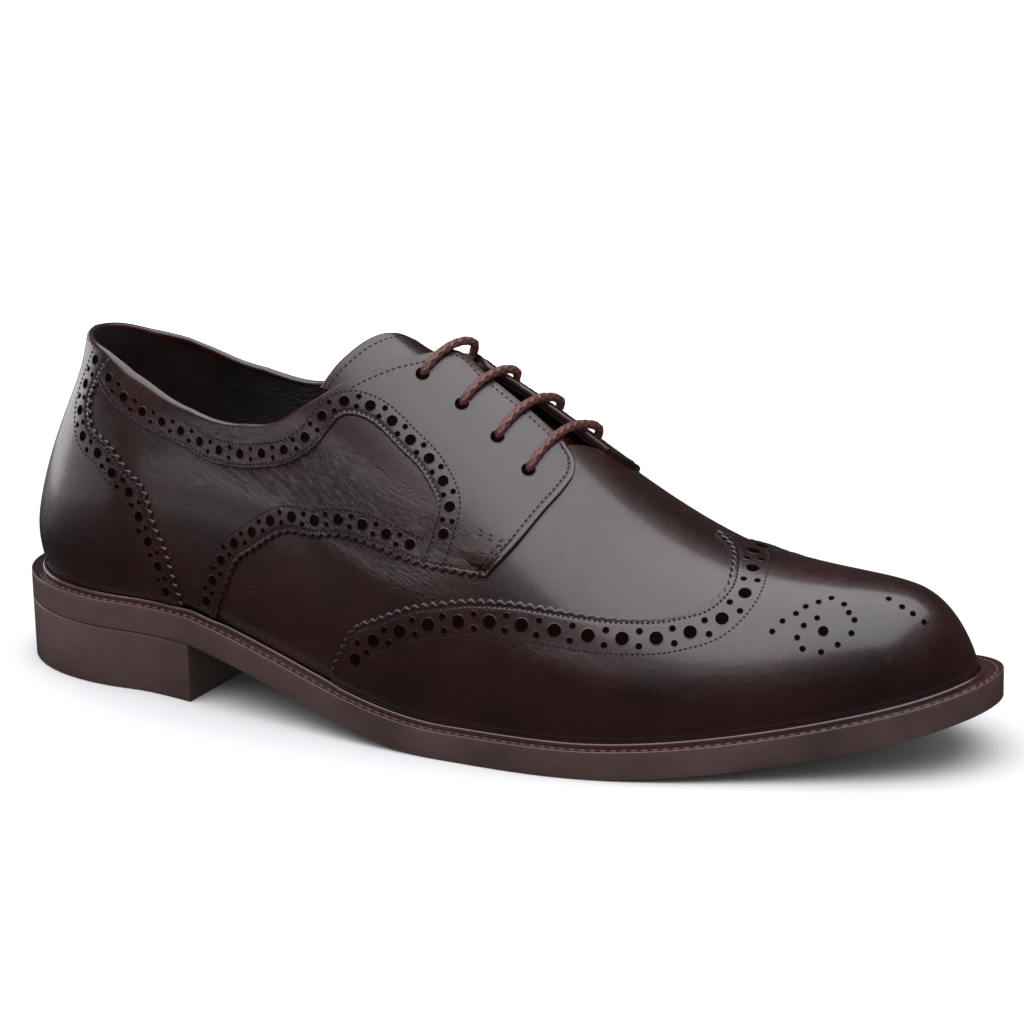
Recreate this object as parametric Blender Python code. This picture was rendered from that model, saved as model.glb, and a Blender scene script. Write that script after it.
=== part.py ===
"""A wing-tip derby shoe in polished leather: sole, welt, heel, hollow upper, overlays, tongue and lace bars.

Lengths are metres. While the pieces are worked out, x runs from the back of the sole to its toe, y to the
medial side and z up from the floor. The last step moves everything so that the sole is centred on the origin.
"""
import bmesh
import bpy
import numpy as np
from math import pi, radians, tan
from mathutils import Vector
from mathutils.kdtree import KDTree

# Sizes that drive the rest
SHOE_LENGTH = 0.305         # sole, from its back to its toe
BALL_WIDTH = 0.093          # upper at the ball, where it meets the welt
INSTEP_HEIGHT = 0.1038      # upper above its lower edge, at 44 % of its length
HEEL_HEIGHT = 0.0180        # heel block at its front
HEEL_RISE = 0.0010          # how much higher the block is at its back
HEEL_LENGTH = 0.0688        # heel block, along the lateral side
HEEL_SKEW = radians(6)      # turn of the heel's front face, its medial end forward
TOE_SPRING = 0.0176         # toe end of the sole above the floor
FLAT_START = 0.1575         # the part of the forefoot that lies flat on the floor
FLAT_END = 0.1940
SOLE_THICKNESS = 0.0050
WELT_THICKNESS = 0.0030
BEAD_HEIGHT = 0.0013        # bead beside the upper, above the welt
BEAD_WIDTH = 0.0015
WALL = 0.0020               # wall of the upper
OVERLAY = 0.0012            # wing, and the step that it makes
QUARTER = 0.0009            # quarters, thinner so that the counter stands over them
COUNTER = 0.0014
INSOLE = 0.0030
TONGUE = 0.0018
EYELET = 0.0045             # diameter of a lace hole
LACE = 0.0026               # diameter of the lace
GAP = 0.0003                # left between two pieces that touch
OVERLAY_GAP = 0.00055       # left under an overlay, more because both faces are faceted
WING_GAP = 0.00085          # left under the wing, which turns more
WELT_GAP = 0.00045          # left between the welt and the upper
TONGUE_GAP = 0.0015         # left over the tongue, where the wall turns most

# Welt beyond the upper, at the back, the waist, the ball and the toe
WELT_BACK = 0.0068
WELT_WAIST = 0.0055
WELT_BALL = 0.0060
WELT_TOE = 0.0075

HEEL_ROUND = 0.0392         # radius of the round back of the upper
TOE_ROUND = 0.0120          # radius of the toe at its tip, seen from above
TOE_DROP = 0.0200           # radius of the toe at its tip, seen from the side

UPPER_BACK = WELT_BACK
UPPER_TIP = SHOE_LENGTH - WELT_TOE
UPPER_LENGTH = UPPER_TIP - UPPER_BACK
ROUND_END = UPPER_BACK + HEEL_ROUND
FRONT_LENGTH = UPPER_TIP - ROUND_END
FEATHER = SOLE_THICKNESS + GAP
BEAD_TOP = WELT_THICKNESS + BEAD_HEIGHT
OVERLAY_FOOT = BEAD_TOP + 0.0010    # lower edge of an overlay, clear of the bead

# Sections of the upper. station: share of the upper's length from its back. centre, lateral, medial and
# bulge: shares of BALL_WIDTH. ridge: share of INSTEP_HEIGHT. round_side and round_top: how square the flank is.
SECTIONS = np.array([
    # station centre lateral medial ridge bulge round_side round_top
    (0.135, 0.043, 0.278, 0.305, 0.884, 0.038, 2.2, 2.2),
    (0.235, 0.037, 0.337, 0.260, 0.958, 0.038, 2.1, 2.0),
    (0.338, 0.019, 0.400, 0.225, 1.103, 0.038, 2.0, 1.9),
    (0.441, 0.000, 0.453, 0.269, 1.000, 0.038, 2.0, 1.8),
    (0.544, 0.000, 0.487, 0.370, 0.842, 0.038, 2.0, 1.9),
    (0.648, 0.011, 0.502, 0.489, 0.629, 0.032, 2.0, 2.1),
    (0.751, 0.022, 0.439, 0.484, 0.456, 0.027, 2.1, 2.3),
    (0.837, 0.026, 0.347, 0.359, 0.393, 0.027, 2.2, 2.4),
    (0.923, 0.025, 0.241, 0.243, 0.330, 0.016, 2.3, 2.4),
    (0.974, 0.024, 0.144, 0.152, 0.210, 0.011, 2.3, 2.4),
])

# How far the back leans out, as a share of HEEL_ROUND, by height as a share of the ridge
BACK_CURVE = np.array([
    # height lean
    (0.00, 0.000),
    (0.15, 0.049),
    (0.30, -0.005),
    (0.45, -0.121),
    (0.60, -0.269),
    (0.75, -0.404),
    (0.85, -0.446),
])

# The open edge of the upper on one side, from the back seam to the front of the throat. station: share of the
# shoe's length. lateral and medial: level on the side, 0 at the sole and 1 on the ridge.
TOP_EDGE = np.array([
    # station lateral medial
    (0.000, 0.610, 0.610),
    (0.050, 0.597, 0.590),
    (0.100, 0.578, 0.545),
    (0.157, 0.510, 0.495),
    (0.197, 0.460, 0.455),
    (0.240, 0.430, 0.430),
    (0.289, 0.420, 0.415),
    (0.331, 0.440, 0.435),
    (0.364, 0.510, 0.500),
    (0.397, 0.610, 0.600),
    (0.430, 0.735, 0.725),
    (0.456, 0.850, 0.845),
    (0.472, 0.950, 0.950),
    (0.508, 0.940, 0.940),
    (0.548, 0.920, 0.920),
    (0.587, 0.900, 0.900),
])
# Columns of the upper along the throat, as shares of the shoe's length, and how far the others keep from them
THROAT_COLUMNS = np.array([0.397, 0.424, 0.450, 0.472, 0.530, 0.587])
THROAT_CLEAR = 0.020

# Front edge of the counter: station as a share of the shoe's length, by its share of the way up
COUNTER_EDGE = np.array([
    # up station
    (0.00, 0.214),
    (0.20, 0.202),
    (0.40, 0.180),
    (0.60, 0.133),
    (0.70, 0.106),
    (0.80, 0.098),
    (0.90, 0.106),
    (1.00, 0.119),
])

# Ribs of a quarter, each from its lower or front edge up to the counter, the collar or the throat. Stations
# are shares of the shoe's length. A high_up between 0 and 1 is that share of the way up the counter's edge, and
# where it is 2 the rib ends on the open edge at high_station.
QUARTER_RIBS = np.array([
    # low_station low_level high_up high_station
    (0.220, 0.000, 0.00, 0.000),
    (0.233, 0.000, 0.20, 0.000),
    (0.246, 0.000, 0.40, 0.000),
    (0.259, 0.000, 0.60, 0.000),
    (0.262, 0.080, 0.70, 0.000),
    (0.268, 0.110, 0.80, 0.000),
    (0.276, 0.135, 0.90, 0.000),
    (0.285, 0.160, 1.00, 0.000),
    (0.308, 0.200, 2.00, 0.157),
    (0.341, 0.250, 2.00, 0.197),
    (0.377, 0.285, 2.00, 0.243),
    (0.407, 0.315, 2.00, 0.289),
    (0.439, 0.340, 2.00, 0.331),
    (0.469, 0.350, 2.00, 0.367),
    (0.505, 0.365, 2.00, 0.400),
    (0.554, 0.380, 2.00, 0.433),
    (0.567, 0.440, 2.00, 0.459),
    (0.580, 0.520, 2.00, 0.472),
    (0.593, 0.620, 2.00, 0.508),
    (0.602, 0.740, 2.00, 0.548),
    (0.600, 0.820, 2.00, 0.572),
    (0.592, 0.870, 2.00, 0.585),
])
MEDIAL_FORWARD = 0.007      # how far the throat's medial side is forward of the lateral side
# It moves forward between the first two of these stations, and back between the last two
FORWARD_OVER = (0.33, 0.47, 0.62, 0.75)

# Upper edge of the wing from its tail to its peak: station as a share of the shoe's length, and level
WING_EDGE = np.array([
    # station level
    (0.402, 0.100),
    (0.423, 0.165),
    (0.446, 0.210),
    (0.479, 0.260),
    (0.521, 0.300),
    (0.577, 0.340),
    (0.633, 0.380),
    (0.679, 0.430),
    (0.728, 0.520),
    (0.749, 0.600),
    (0.757, 0.710),
    (0.751, 0.830),
    (0.725, 1.000),
])

# Top edge of the tongue: station as a share of the shoe's length, by level
TONGUE_TOP = np.array([
    # level station
    (0.56, 0.380),
    (0.65, 0.394),
    (0.75, 0.407),
    (0.85, 0.419),
    (1.00, 0.426),
])
TONGUE_FRONT = 0.640
TONGUE_TOP_LEVEL = 0.56
TONGUE_FRONT_LEVEL = 0.78

# Lace holes on the lateral side: station as a share of the shoe's length, and level
EYELETS = np.array([
    # station level
    (0.459, 0.765),
    (0.498, 0.750),
    (0.538, 0.725),
    (0.572, 0.695),
])

# Colours, linear, and roughness
MATERIALS = {
    "leather": ((0.030, 0.016, 0.015, 1), 0.30),
    "lining": ((0.020, 0.013, 0.011, 1), 0.60),
    "sole": ((0.062, 0.040, 0.036, 1), 0.45),
    "lace": ((0.090, 0.026, 0.020, 1), 0.70),
}


def spline(table_x, table_y):
    """A smooth curve through a table, level at its first row and without bend at its last."""
    h = np.diff(table_x)
    slope = np.diff(table_y) / h
    count = len(table_x)
    a = np.zeros((count, count))
    b = np.zeros(count)
    a[0, 0] = 2 * h[0]
    a[0, 1] = h[0]
    b[0] = 6 * slope[0]
    for i in range(1, count - 1):
        a[i, i - 1:i + 2] = h[i - 1], 2 * (h[i - 1] + h[i]), h[i]
        b[i] = 6 * (slope[i] - slope[i - 1])
    a[-1, -1] = 1
    bend = np.linalg.solve(a, b)

    def value(x):
        x = np.clip(x, table_x[0], table_x[-1])
        i = np.clip(np.searchsorted(table_x, x) - 1, 0, count - 2)
        left = x - table_x[i]
        right = table_x[i + 1] - x
        cubic = (bend[i] * right**3 + bend[i + 1] * left**3) / (6 * h[i])
        line = (table_y[i] / h[i] - bend[i] * h[i] / 6) * right + (table_y[i + 1] / h[i] - bend[i + 1] * h[i] / 6) * left
        return cubic + line

    return value


def section_curves():
    """Each column of SECTIONS as a curve over x. Widths and the ridge are divided by the toe's round first."""
    x = np.append(UPPER_BACK + UPPER_LENGTH * SECTIONS[:, 0], UPPER_TIP)
    x[0] = ROUND_END
    fall = np.sqrt(1 - ((x[:-1] - ROUND_END) / FRONT_LENGTH)**2)
    names = "centre lateral medial ridge bulge round_side round_top".split()
    curves = {}
    for column, name in enumerate(names, 1):
        rows = SECTIONS[:, column]
        if name in ("lateral", "medial"):
            rows = np.append(rows * BALL_WIDTH / fall, np.sqrt(TOE_ROUND * FRONT_LENGTH))
        elif name == "ridge":
            rows = np.append(rows * INSTEP_HEIGHT / fall, np.sqrt(TOE_DROP * FRONT_LENGTH))
        else:
            share = BALL_WIDTH if name in ("centre", "bulge") else 1
            rows = np.append(rows, rows[-1]) * share
        curves[name] = spline(x, rows)
    return curves


CURVES = section_curves()
BACK_LEAN = spline(BACK_CURVE[:, 0], BACK_CURVE[:, 1] * HEEL_ROUND)


def sole_bottom(x):
    """Underside of the sole above the floor: flat at the ball, up to the toe and up over the arch to the heel."""
    toe = np.clip((x - FLAT_END) / (SHOE_LENGTH - FLAT_END), 0, 1)
    back = np.clip((FLAT_START - x) / (FLAT_START - HEEL_LENGTH), 0, 1)
    arch = 0.55 * (3 * back**2 - 2 * back**3) + 0.45 * back**1.6
    seat = np.clip((HEEL_LENGTH - x) / HEEL_LENGTH, 0, 1)
    return TOE_SPRING * toe**1.9 + HEEL_HEIGHT * arch + HEEL_RISE * seat


def toe_fall(station):
    """1 at the end of the heel's round, 0 at the tip of the toe."""
    t = np.clip((station - ROUND_END) / FRONT_LENGTH, 0, 1)
    return np.sqrt(1 - t * t)


def ridge_height(station):
    return CURVES["ridge"](station) * toe_fall(station)


def on_side(station, level):
    """A point of the upper's outer face. station: x, or behind ROUND_END the share of the quarter turn to the
    back. Below 0 it is on the medial side, as is a level above 1, which has crossed the ridge."""
    station, level = np.broadcast_arrays(np.asarray(station, float), np.asarray(level, float))
    side = np.where((station < 0) != (level > 1), 1.0, -1.0)
    station = np.abs(station)
    angle = np.where(level > 1, 2 - level, level) * pi / 2
    front = np.maximum(station, ROUND_END)
    fall = toe_fall(front)
    half = np.where(side < 0, CURVES["lateral"](front), CURVES["medial"](front)) * fall
    height = np.sin(angle)**(2 / CURVES["round_top"](front))
    reach = half * np.clip(np.cos(angle), 0, 1)**(2 / CURVES["round_side"](front))
    reach = reach + 6.75 * CURVES["bulge"](front) * fall * height * (1 - height)**2
    turn = np.clip(station / ROUND_END, 0, 1) * pi / 2
    behind = ROUND_END - (HEEL_ROUND + BACK_LEAN(height)) * np.cos(turn)
    x = np.where(station < ROUND_END, behind, station)
    y = CURVES["centre"](front) + side * reach * np.where(station < ROUND_END, np.sin(turn), 1)
    z = sole_bottom(x) + FEATHER + ridge_height(front) * height
    return np.stack([x, y, z], -1)


def lifted(station, level, lift):
    """The same point, moved off the face by lift along its normal."""
    station, level = np.broadcast_arrays(np.asarray(station, float), np.asarray(level, float))
    point = on_side(station, level)
    step = 0.0004 * np.maximum(toe_fall(np.abs(station)), 0.02)
    limit = UPPER_TIP - 1e-8
    along = on_side(np.clip(station + step, -limit, limit), level)
    along = along - on_side(np.clip(station - step, -limit, limit), level)
    up = on_side(station, np.minimum(level + 0.006, 2)) - on_side(station, np.maximum(level - 0.006, 0))
    normal = np.cross(along, up)
    size = np.linalg.norm(normal, axis=-1, keepdims=True)
    tip = (np.abs(station) > UPPER_TIP - 1e-6)[..., None] | (size < 1e-14)
    normal = np.where(tip, (1.0, 0.0, 0.0), normal / np.where(size < 1e-14, 1, size))
    return point + normal * lift


def level_at(station, height):
    """The level at which the face is this high above its lower edge."""
    station = np.maximum(np.abs(station), ROUND_END)
    share = np.clip(height / np.maximum(ridge_height(station), 1e-9), 0, 1)
    return np.arcsin(share**(CURVES["round_top"](station) / 2)) * 2 / pi


def stations(count_round, count_front, end=UPPER_TIP):
    """Stations from the back seam to end, closer together at the toe."""
    back = ROUND_END * np.arange(count_round) / count_round
    turn = np.arange(count_front + 1) / count_front * pi / 2
    return np.append(back, ROUND_END + (end - ROUND_END) * np.sin(turn))


def front_end(height):
    """The station where the toe's ridge is only this high."""
    low = ROUND_END
    high = UPPER_TIP
    for _ in range(60):
        middle = (low + high) / 2
        if ridge_height(middle) > height:
            low = middle
        else:
            high = middle
    return low


ROUND_STEPS = 7             # columns of facets on one side of the round back
FRONT_STEPS = 26            # and from there to the tip of the toe
WALL_ROWS = 7               # rows of facets up the upper, above the bead


def ring(height, lift):
    """A closed ring round the upper at one height, from the back along the lateral side and back again."""
    end = front_end(height) if height > 0 else UPPER_TIP
    half = stations(ROUND_STEPS, FRONT_STEPS, end)
    level = level_at(half, height)
    level[-1] = 1 if height > 0 else 0
    points = lifted(np.append(half, half[-2:0:-1]), np.append(level, 2 - level[-2:0:-1]), lift)
    points[:, 2] = sole_bottom(points[:, 0]) + FEATHER + height
    return points


def outline(inset, height):
    """The edge of the sole, which is the upper's lower edge moved out by the welt, less inset."""
    edge = ring(0, 0)
    ahead = np.roll(edge, -1, 0) - np.roll(edge, 1, 0)
    outward = np.stack([ahead[:, 1], -ahead[:, 0]], -1)
    outward = outward / np.linalg.norm(outward, axis=1, keepdims=True)
    share = (edge[:, 0] - UPPER_BACK) / UPPER_LENGTH
    width = np.interp(share, (0, 0.35, 0.65, 1), (WELT_BACK, WELT_WAIST, WELT_BALL, WELT_TOE))
    flat = edge[:, :2] + outward * (width - inset)[:, None]
    return np.column_stack([flat, sole_bottom(flat[:, 0]) + height])


def forward(station):
    """How far the medial side of the throat is ahead of the lateral side at this station."""
    share = np.abs(station) / SHOE_LENGTH
    start, full, fading, end = FORWARD_OVER
    rise = np.clip((share - start) / (full - start), 0, 1)
    fade = np.clip((end - share) / (end - fading), 0, 1)
    return MEDIAL_FORWARD * (3 - 2 * rise) * rise**2 * (3 - 2 * fade) * fade**2


def medial(station, level):
    """The place on the medial side that answers to this place on the lateral side."""
    return station + forward(station), 2 - level


def open_level(station, side):
    """Level of the open edge at a station, on side 1 for lateral or 2 for medial."""
    return np.interp(np.abs(station) / SHOE_LENGTH, TOP_EDGE[:, 0], TOP_EDGE[:, side])


def foot_level(station):
    return level_at(station, OVERLAY_FOOT)


def material(name):
    """The named material, made the first time that it is asked for."""
    found = bpy.data.materials.get(name)
    if found:
        return found
    made = bpy.data.materials.new(name)
    made.use_nodes = True
    shader = made.node_tree.nodes["Principled BSDF"]
    colour, rough = MATERIALS[name]
    shader.inputs["Base Color"].default_value = colour
    shader.inputs["Roughness"].default_value = rough
    made.diffuse_color = colour
    return made


def solid(name, points, faces, surface):
    """Makes a mesh object with its faces turned outward."""
    mesh = bpy.data.meshes.new(name)
    mesh.from_pydata([tuple(p) for p in points], [], faces)
    work = bmesh.new()
    work.from_mesh(mesh)
    bmesh.ops.remove_doubles(work, verts=work.verts, dist=1e-6)
    bmesh.ops.recalc_face_normals(work, faces=work.faces)
    work.to_mesh(mesh)
    work.free()
    made = bpy.data.objects.new(name, mesh)
    mesh.materials.append(material(surface))
    bpy.context.collection.objects.link(made)
    return made


def shell(name, patches, outer_lift, inner_lift, surface):
    """A wall between two lifts over patches of (station, level) grids, which join where their points meet."""
    outer = []
    inner = []
    quads = []
    for station, level in patches:
        rows, columns = station.shape
        number = len(outer) + np.arange(rows * columns).reshape(rows, columns)
        outer.extend(lifted(station, level, outer_lift).reshape(-1, 3))
        inner.extend(lifted(station, level, inner_lift).reshape(-1, 3))
        corners = number[:-1, :-1], number[:-1, 1:], number[1:, 1:], number[1:, :-1]
        quads.extend(np.stack(corners, -1).reshape(-1, 4).tolist())
    tree = KDTree(len(outer))
    for i, point in enumerate(outer):
        tree.insert(point, i)
    tree.balance()
    same = [min(found[1] for found in tree.find_range(point, 2e-6)) for point in outer]
    faces = []
    uses = {}
    for quad in quads:
        loop = [same[i] for i in quad]
        loop = [p for i, p in enumerate(loop) if p != loop[i - 1]]
        if len(set(loop)) < 3:
            continue
        faces.append(loop)
        for a, b in zip(loop, loop[1:] + loop[:1]):
            uses.setdefault((min(a, b), max(a, b)), []).append((a, b))
    count = len(outer)
    rim = [(b, a, a + count, b + count) for (a, b), in (u for u in uses.values() if len(u) == 1)]
    back = [[i + count for i in reversed(loop)] for loop in faces]
    return solid(name, outer + inner, faces + back + rim, surface)


def plate(name, rings, surface):
    """A solid between stacked rings that start at the back, closed by rungs from side to side."""
    count = len(rings[0])
    faces = []
    for k in range(len(rings) - 1):
        for i in range(count):
            j = (i + 1) % count
            faces.append((k * count + i, k * count + j, (k + 1) * count + j, (k + 1) * count + i))
    top = (len(rings) - 1) * count
    for start in (0, top):
        faces.append((start, start + 1, start + count - 1))
        for i in range(1, count // 2 - 1):
            faces.append((start + i, start + i + 1, start + count - i - 1, start + count - i))
        middle = start + count // 2
        faces.append((middle - 1, middle, middle + 1))
    return solid(name, np.concatenate(rings), faces, surface)


def outsole():
    edge = 0.0006
    rings = [outline(edge, 0), outline(0, edge), outline(0, SOLE_THICKNESS - edge / 2),
             outline(edge / 2, SOLE_THICKNESS)]
    return plate("outsole", rings, "sole")


def heel():
    """The heel block: the sole's own edge as far as its front face, from the floor to under the sole."""
    edge = outline(0, 0)
    half = len(edge) // 2
    seat_x = edge[:half + 1, 0]
    seat_z = edge[:half + 1, 2]
    turn = np.linspace(0, pi / 2, 15)
    sides = []
    lateral_y = np.interp(HEEL_LENGTH, edge[:half + 1, 0], edge[:half + 1, 1])
    for side, around in ((1, edge[:half + 1]), (-1, np.append(edge[:1], edge[:half - 1:-1], 0))):
        corner = HEEL_LENGTH
        if side < 0:
            corner += (np.interp(HEEL_LENGTH, around[:, 0], around[:, 1]) - lateral_y) * tan(HEEL_SKEW)
        x = around[0, 0] + (corner - around[0, 0]) * (1 - np.cos(turn))
        sides.append(np.column_stack([x, np.interp(x, around[:, 0], around[:, 1])]))
    middle = (sides[0][-1:] + sides[1][-1:]) / 2
    loop = np.concatenate([sides[0], middle, sides[1][:0:-1]])
    centre = loop.mean(0)
    bevel = 0.0006

    def level_ring(inset, z):
        out = loop - centre
        out = out * (1 - inset / np.linalg.norm(out, axis=1, keepdims=True))
        return np.column_stack([out + centre, z])

    top = np.interp(loop[:, 0], seat_x, seat_z) - GAP
    flat = np.zeros(len(loop))
    rings = [level_ring(bevel, flat), level_ring(0, flat + bevel), level_ring(0, top - bevel / 2),
             level_ring(bevel / 2, top)]
    return plate("heel", rings, "sole")


def welt():
    """A ring on the sole: a bead beside the upper, a channel for its stitches and a flat ledge."""
    channel = 0.0003
    edge = 0.0005
    out = WELT_GAP + BEAD_WIDTH
    rings = [
        ring(0, WELT_GAP),
        ring(BEAD_TOP, WELT_GAP),
        ring(BEAD_TOP, WELT_GAP + BEAD_WIDTH * 0.6),
        ring(WELT_THICKNESS + BEAD_HEIGHT / 3, out),
        ring(WELT_THICKNESS - channel, out + channel),
        outline(WELT_BACK * 0.35, FEATHER + WELT_THICKNESS),
        outline(edge, FEATHER + WELT_THICKNESS),
        outline(0, FEATHER),
    ]
    count = len(rings[0])
    faces = []
    for k in range(len(rings)):
        after = (k + 1) % len(rings)
        for i in range(count):
            j = (i + 1) % count
            faces.append((k * count + i, k * count + j, after * count + j, after * count + i))
    return solid("welt", np.concatenate(rings), faces, "sole")


def insole():
    inside = -(WALL + OVERLAY_GAP + GAP)
    return plate("insole", [ring(0, inside), ring(INSOLE, inside)], "lining")


def upper():
    """The hollow upper: two side walls that meet at the back and the toe, and the vamp across the ridge."""
    half = stations(ROUND_STEPS, FRONT_STEPS)
    throat = THROAT_COLUMNS * SHOE_LENGTH
    clear = THROAT_CLEAR * SHOE_LENGTH
    half = np.concatenate([half[half < throat[0] - clear], throat, half[half > throat[-1] + clear]])
    edge_level = TOP_EDGE[-1, 1]
    patches = []
    for side in (1, 2):
        top = open_level(half, side)
        bead = np.minimum(level_at(half, BEAD_TOP), 0.08 * top)
        rest = np.linspace(0.15, 1, WALL_ROWS)[:, None] * top
        level = np.vstack([0 * top, bead, rest])
        station = np.broadcast_to(half, level.shape)
        if side == 2:
            level = np.where(station > 0, 2 - level, level)
            station = np.minimum(station + forward(station), UPPER_TIP)
        patches.append((station, level))
    vamp = half[half > throat[-1] - 1e-9]
    across = np.linspace(0, 1, 5)[:, None]
    level = edge_level + 2 * (1 - edge_level) * across + 0 * vamp
    patches.append((np.minimum(vamp + forward(vamp) * across, UPPER_TIP), level))
    return shell("upper", patches, 0, -WALL, "leather")


def counter():
    """The piece round the heel, from the bead to the collar."""
    up = np.linspace(0, 1, 11)[:, None]
    share = np.linspace(-1, 1, 23)[None, :]
    station = share * np.interp(up, COUNTER_EDGE[:, 0], COUNTER_EDGE[:, 1]) * SHOE_LENGTH
    top = np.where(station < 0, open_level(station, 2), open_level(station, 1))
    level = foot_level(station) * (1 - up) + top * up
    return shell("counter", [(station, level)], OVERLAY_GAP + COUNTER, OVERLAY_GAP, "leather")


def quarter(name, side):
    """One quarter: ribs from its pinked lower edge and its front up to the counter, collar and throat."""
    low_station = QUARTER_RIBS[:, 0] * SHOE_LENGTH
    low_level = np.maximum(QUARTER_RIBS[:, 1], foot_level(low_station))
    beside = QUARTER_RIBS[:, 2] <= 1
    up = np.minimum(QUARTER_RIBS[:, 2], 1)
    counter_station = np.interp(up, COUNTER_EDGE[:, 0], COUNTER_EDGE[:, 1]) * SHOE_LENGTH
    counter_level = foot_level(counter_station) * (1 - up) + open_level(counter_station, side) * up
    high_station = np.where(beside, counter_station + 3 * GAP, QUARTER_RIBS[:, 3] * SHOE_LENGTH)
    high_level = np.where(beside, counter_level, open_level(high_station, side))
    across = np.linspace(0, 1, 10)[:, None]
    station = low_station * (1 - across) + high_station * across
    level = low_level * (1 - across) + high_level * across
    if side == 2:
        station, level = medial(station, level)
    return shell(name, [(station, level)], OVERLAY_GAP + QUARTER, OVERLAY_GAP, "leather")


def respaced(station, level, count):
    """The same path with its points spaced along it, closer together towards its end."""
    step = np.linalg.norm(np.diff(on_side(station, level), axis=0), axis=1)
    length = np.append(0, np.cumsum(step))
    at = length[-1] * (1 - np.linspace(1, 0, count)**1.6)
    return np.interp(at, length, station), np.interp(at, length, level)


def wing():
    """The wing round the toe, between the bead and its own edge, which rises to a peak on the ridge."""
    edge_station = WING_EDGE[:, 0] * SHOE_LENGTH
    end = front_end(OVERLAY_FOOT)
    sweep = edge_station[0] + (end - edge_station[0]) * np.sin(np.linspace(0, pi / 2, 300))
    foot = foot_level(sweep)
    foot[-1] = 1
    low = respaced(sweep, foot, 21)
    high = respaced(edge_station, WING_EDGE[:, 1], 21)
    across = np.linspace(0, 1, 12)[:, None]**1.5
    station = low[0] * (1 - across) + high[0] * across
    level = low[1] * (1 - across) + high[1] * across
    station = np.hstack([station, station[:, -2::-1]])
    level = np.hstack([level, 2 - level[:, -2::-1]])
    return shell("wing", [(station, level)], WING_GAP + OVERLAY, WING_GAP, "leather")


def tongue():
    """The tongue under the throat, from under the vamp to above the lacing."""
    down = np.linspace(0, 1, 8)[:, None]
    across = np.linspace(-1, 1, 13)[None, :]
    reach = (1 - TONGUE_TOP_LEVEL) * (1 - down) + (1 - TONGUE_FRONT_LEVEL) * down
    level = 1 + across * reach
    start = np.interp(1 - np.abs(across) * reach[0], TONGUE_TOP[:, 0], TONGUE_TOP[:, 1]) * SHOE_LENGTH
    station = start * (1 - down) + TONGUE_FRONT * SHOE_LENGTH * down
    outside = -(WALL + TONGUE_GAP)
    return shell("tongue", [(station, level)], outside, outside - TONGUE, "leather")


def eyelet_places():
    """Station and level of each lace hole, as pairs of a lateral and a medial one."""
    return [((s * SHOE_LENGTH, level), medial(s * SHOE_LENGTH, level)) for s, level in EYELETS]


def punch(targets):
    """Cuts the lace holes through the pieces in targets."""
    points = []
    faces = []
    sides = 12
    turn = np.arange(sides) * 2 * pi / sides
    for place in sum(eyelet_places(), ()):
        low = Vector(lifted(*place, -WALL * 1.5))
        high = Vector(lifted(*place, WALL * 1.5))
        across = (high - low).orthogonal().normalized()
        other = (high - low).normalized().cross(across)
        start = len(points)
        for centre in (low, high):
            points.extend(centre + (across * np.cos(a) + other * np.sin(a)) * EYELET / 2 for a in turn)
        first = list(range(start, start + sides))
        second = list(range(start + sides, start + 2 * sides))
        faces += [first, second]
        faces += [(first[i - 1], first[i], second[i], second[i - 1]) for i in range(sides)]
    cutter = solid("lace_holes", points, faces, "leather")
    cutter.hide_render = True
    cutter.display_type = "WIRE"
    for target in targets:
        cut = target.modifiers.new("lace holes", "BOOLEAN")
        cut.operation = "DIFFERENCE"
        cut.object = cutter
    return cutter


def lace_bar(name, near, far):
    """One bar of the lace: up out of a hole, over the throat and down into the hole across from it."""
    over = OVERLAY_GAP + QUARTER + GAP + LACE / 2
    share = np.linspace(0, 1, 80)
    station = near[0] + (far[0] - near[0]) * share
    level = near[1] + (far[1] - near[1]) * share
    step = np.linalg.norm(np.diff(lifted(station, level, over), axis=0), axis=1)
    length = np.append(0, np.cumsum(step))
    bend = np.array([0, 0.0003, 0.0013, 0.0030])
    drop = np.array([-0.0008, 0.0011, over * 0.88, over])
    run = np.linspace(0.0060, length[-1] - 0.0060, 8)
    at = np.concatenate([bend, run, length[-1] - bend[::-1]])
    lift = np.concatenate([drop, 0 * run + over, drop[::-1]])
    points = lifted(np.interp(at, length, station), np.interp(at, length, level), lift[:, None])
    curve = bpy.data.curves.new(name, "CURVE")
    curve.dimensions = "3D"
    curve.bevel_depth = LACE / 2
    curve.bevel_resolution = 2
    curve.use_fill_caps = True
    line = curve.splines.new("POLY")
    line.points.add(len(points) - 1)
    for target, point in zip(line.points, points):
        target.co = (*point, 1)
    made = bpy.data.objects.new(name, curve)
    curve.materials.append(material("lace"))
    bpy.context.collection.objects.link(made)
    return made


def main():
    for old in list(bpy.data.objects):
        bpy.data.objects.remove(old)
    shaft = upper()
    lateral = quarter("quarter_lateral", 1)
    inner = quarter("quarter_medial", 2)
    pieces = [outsole(), heel(), welt(), insole(), shaft, lateral, inner, counter(), wing(), tongue()]
    pieces.append(punch([shaft, lateral, inner]))
    for number, (near, far) in enumerate(eyelet_places(), 1):
        pieces.append(lace_bar(f"lace_{number}", near, far))
    sides = outline(0, 0)[:, 1]
    for piece in pieces:
        piece.location = (-SHOE_LENGTH / 2, -(sides.min() + sides.max()) / 2, 0)


main()
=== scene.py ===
# A wing-tip derby shoe in polished dark leather on a white floor
import bmesh
import bpy
import numpy as np
from math import cos, pi, radians, sin
from mathutils import Matrix, Vector


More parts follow.
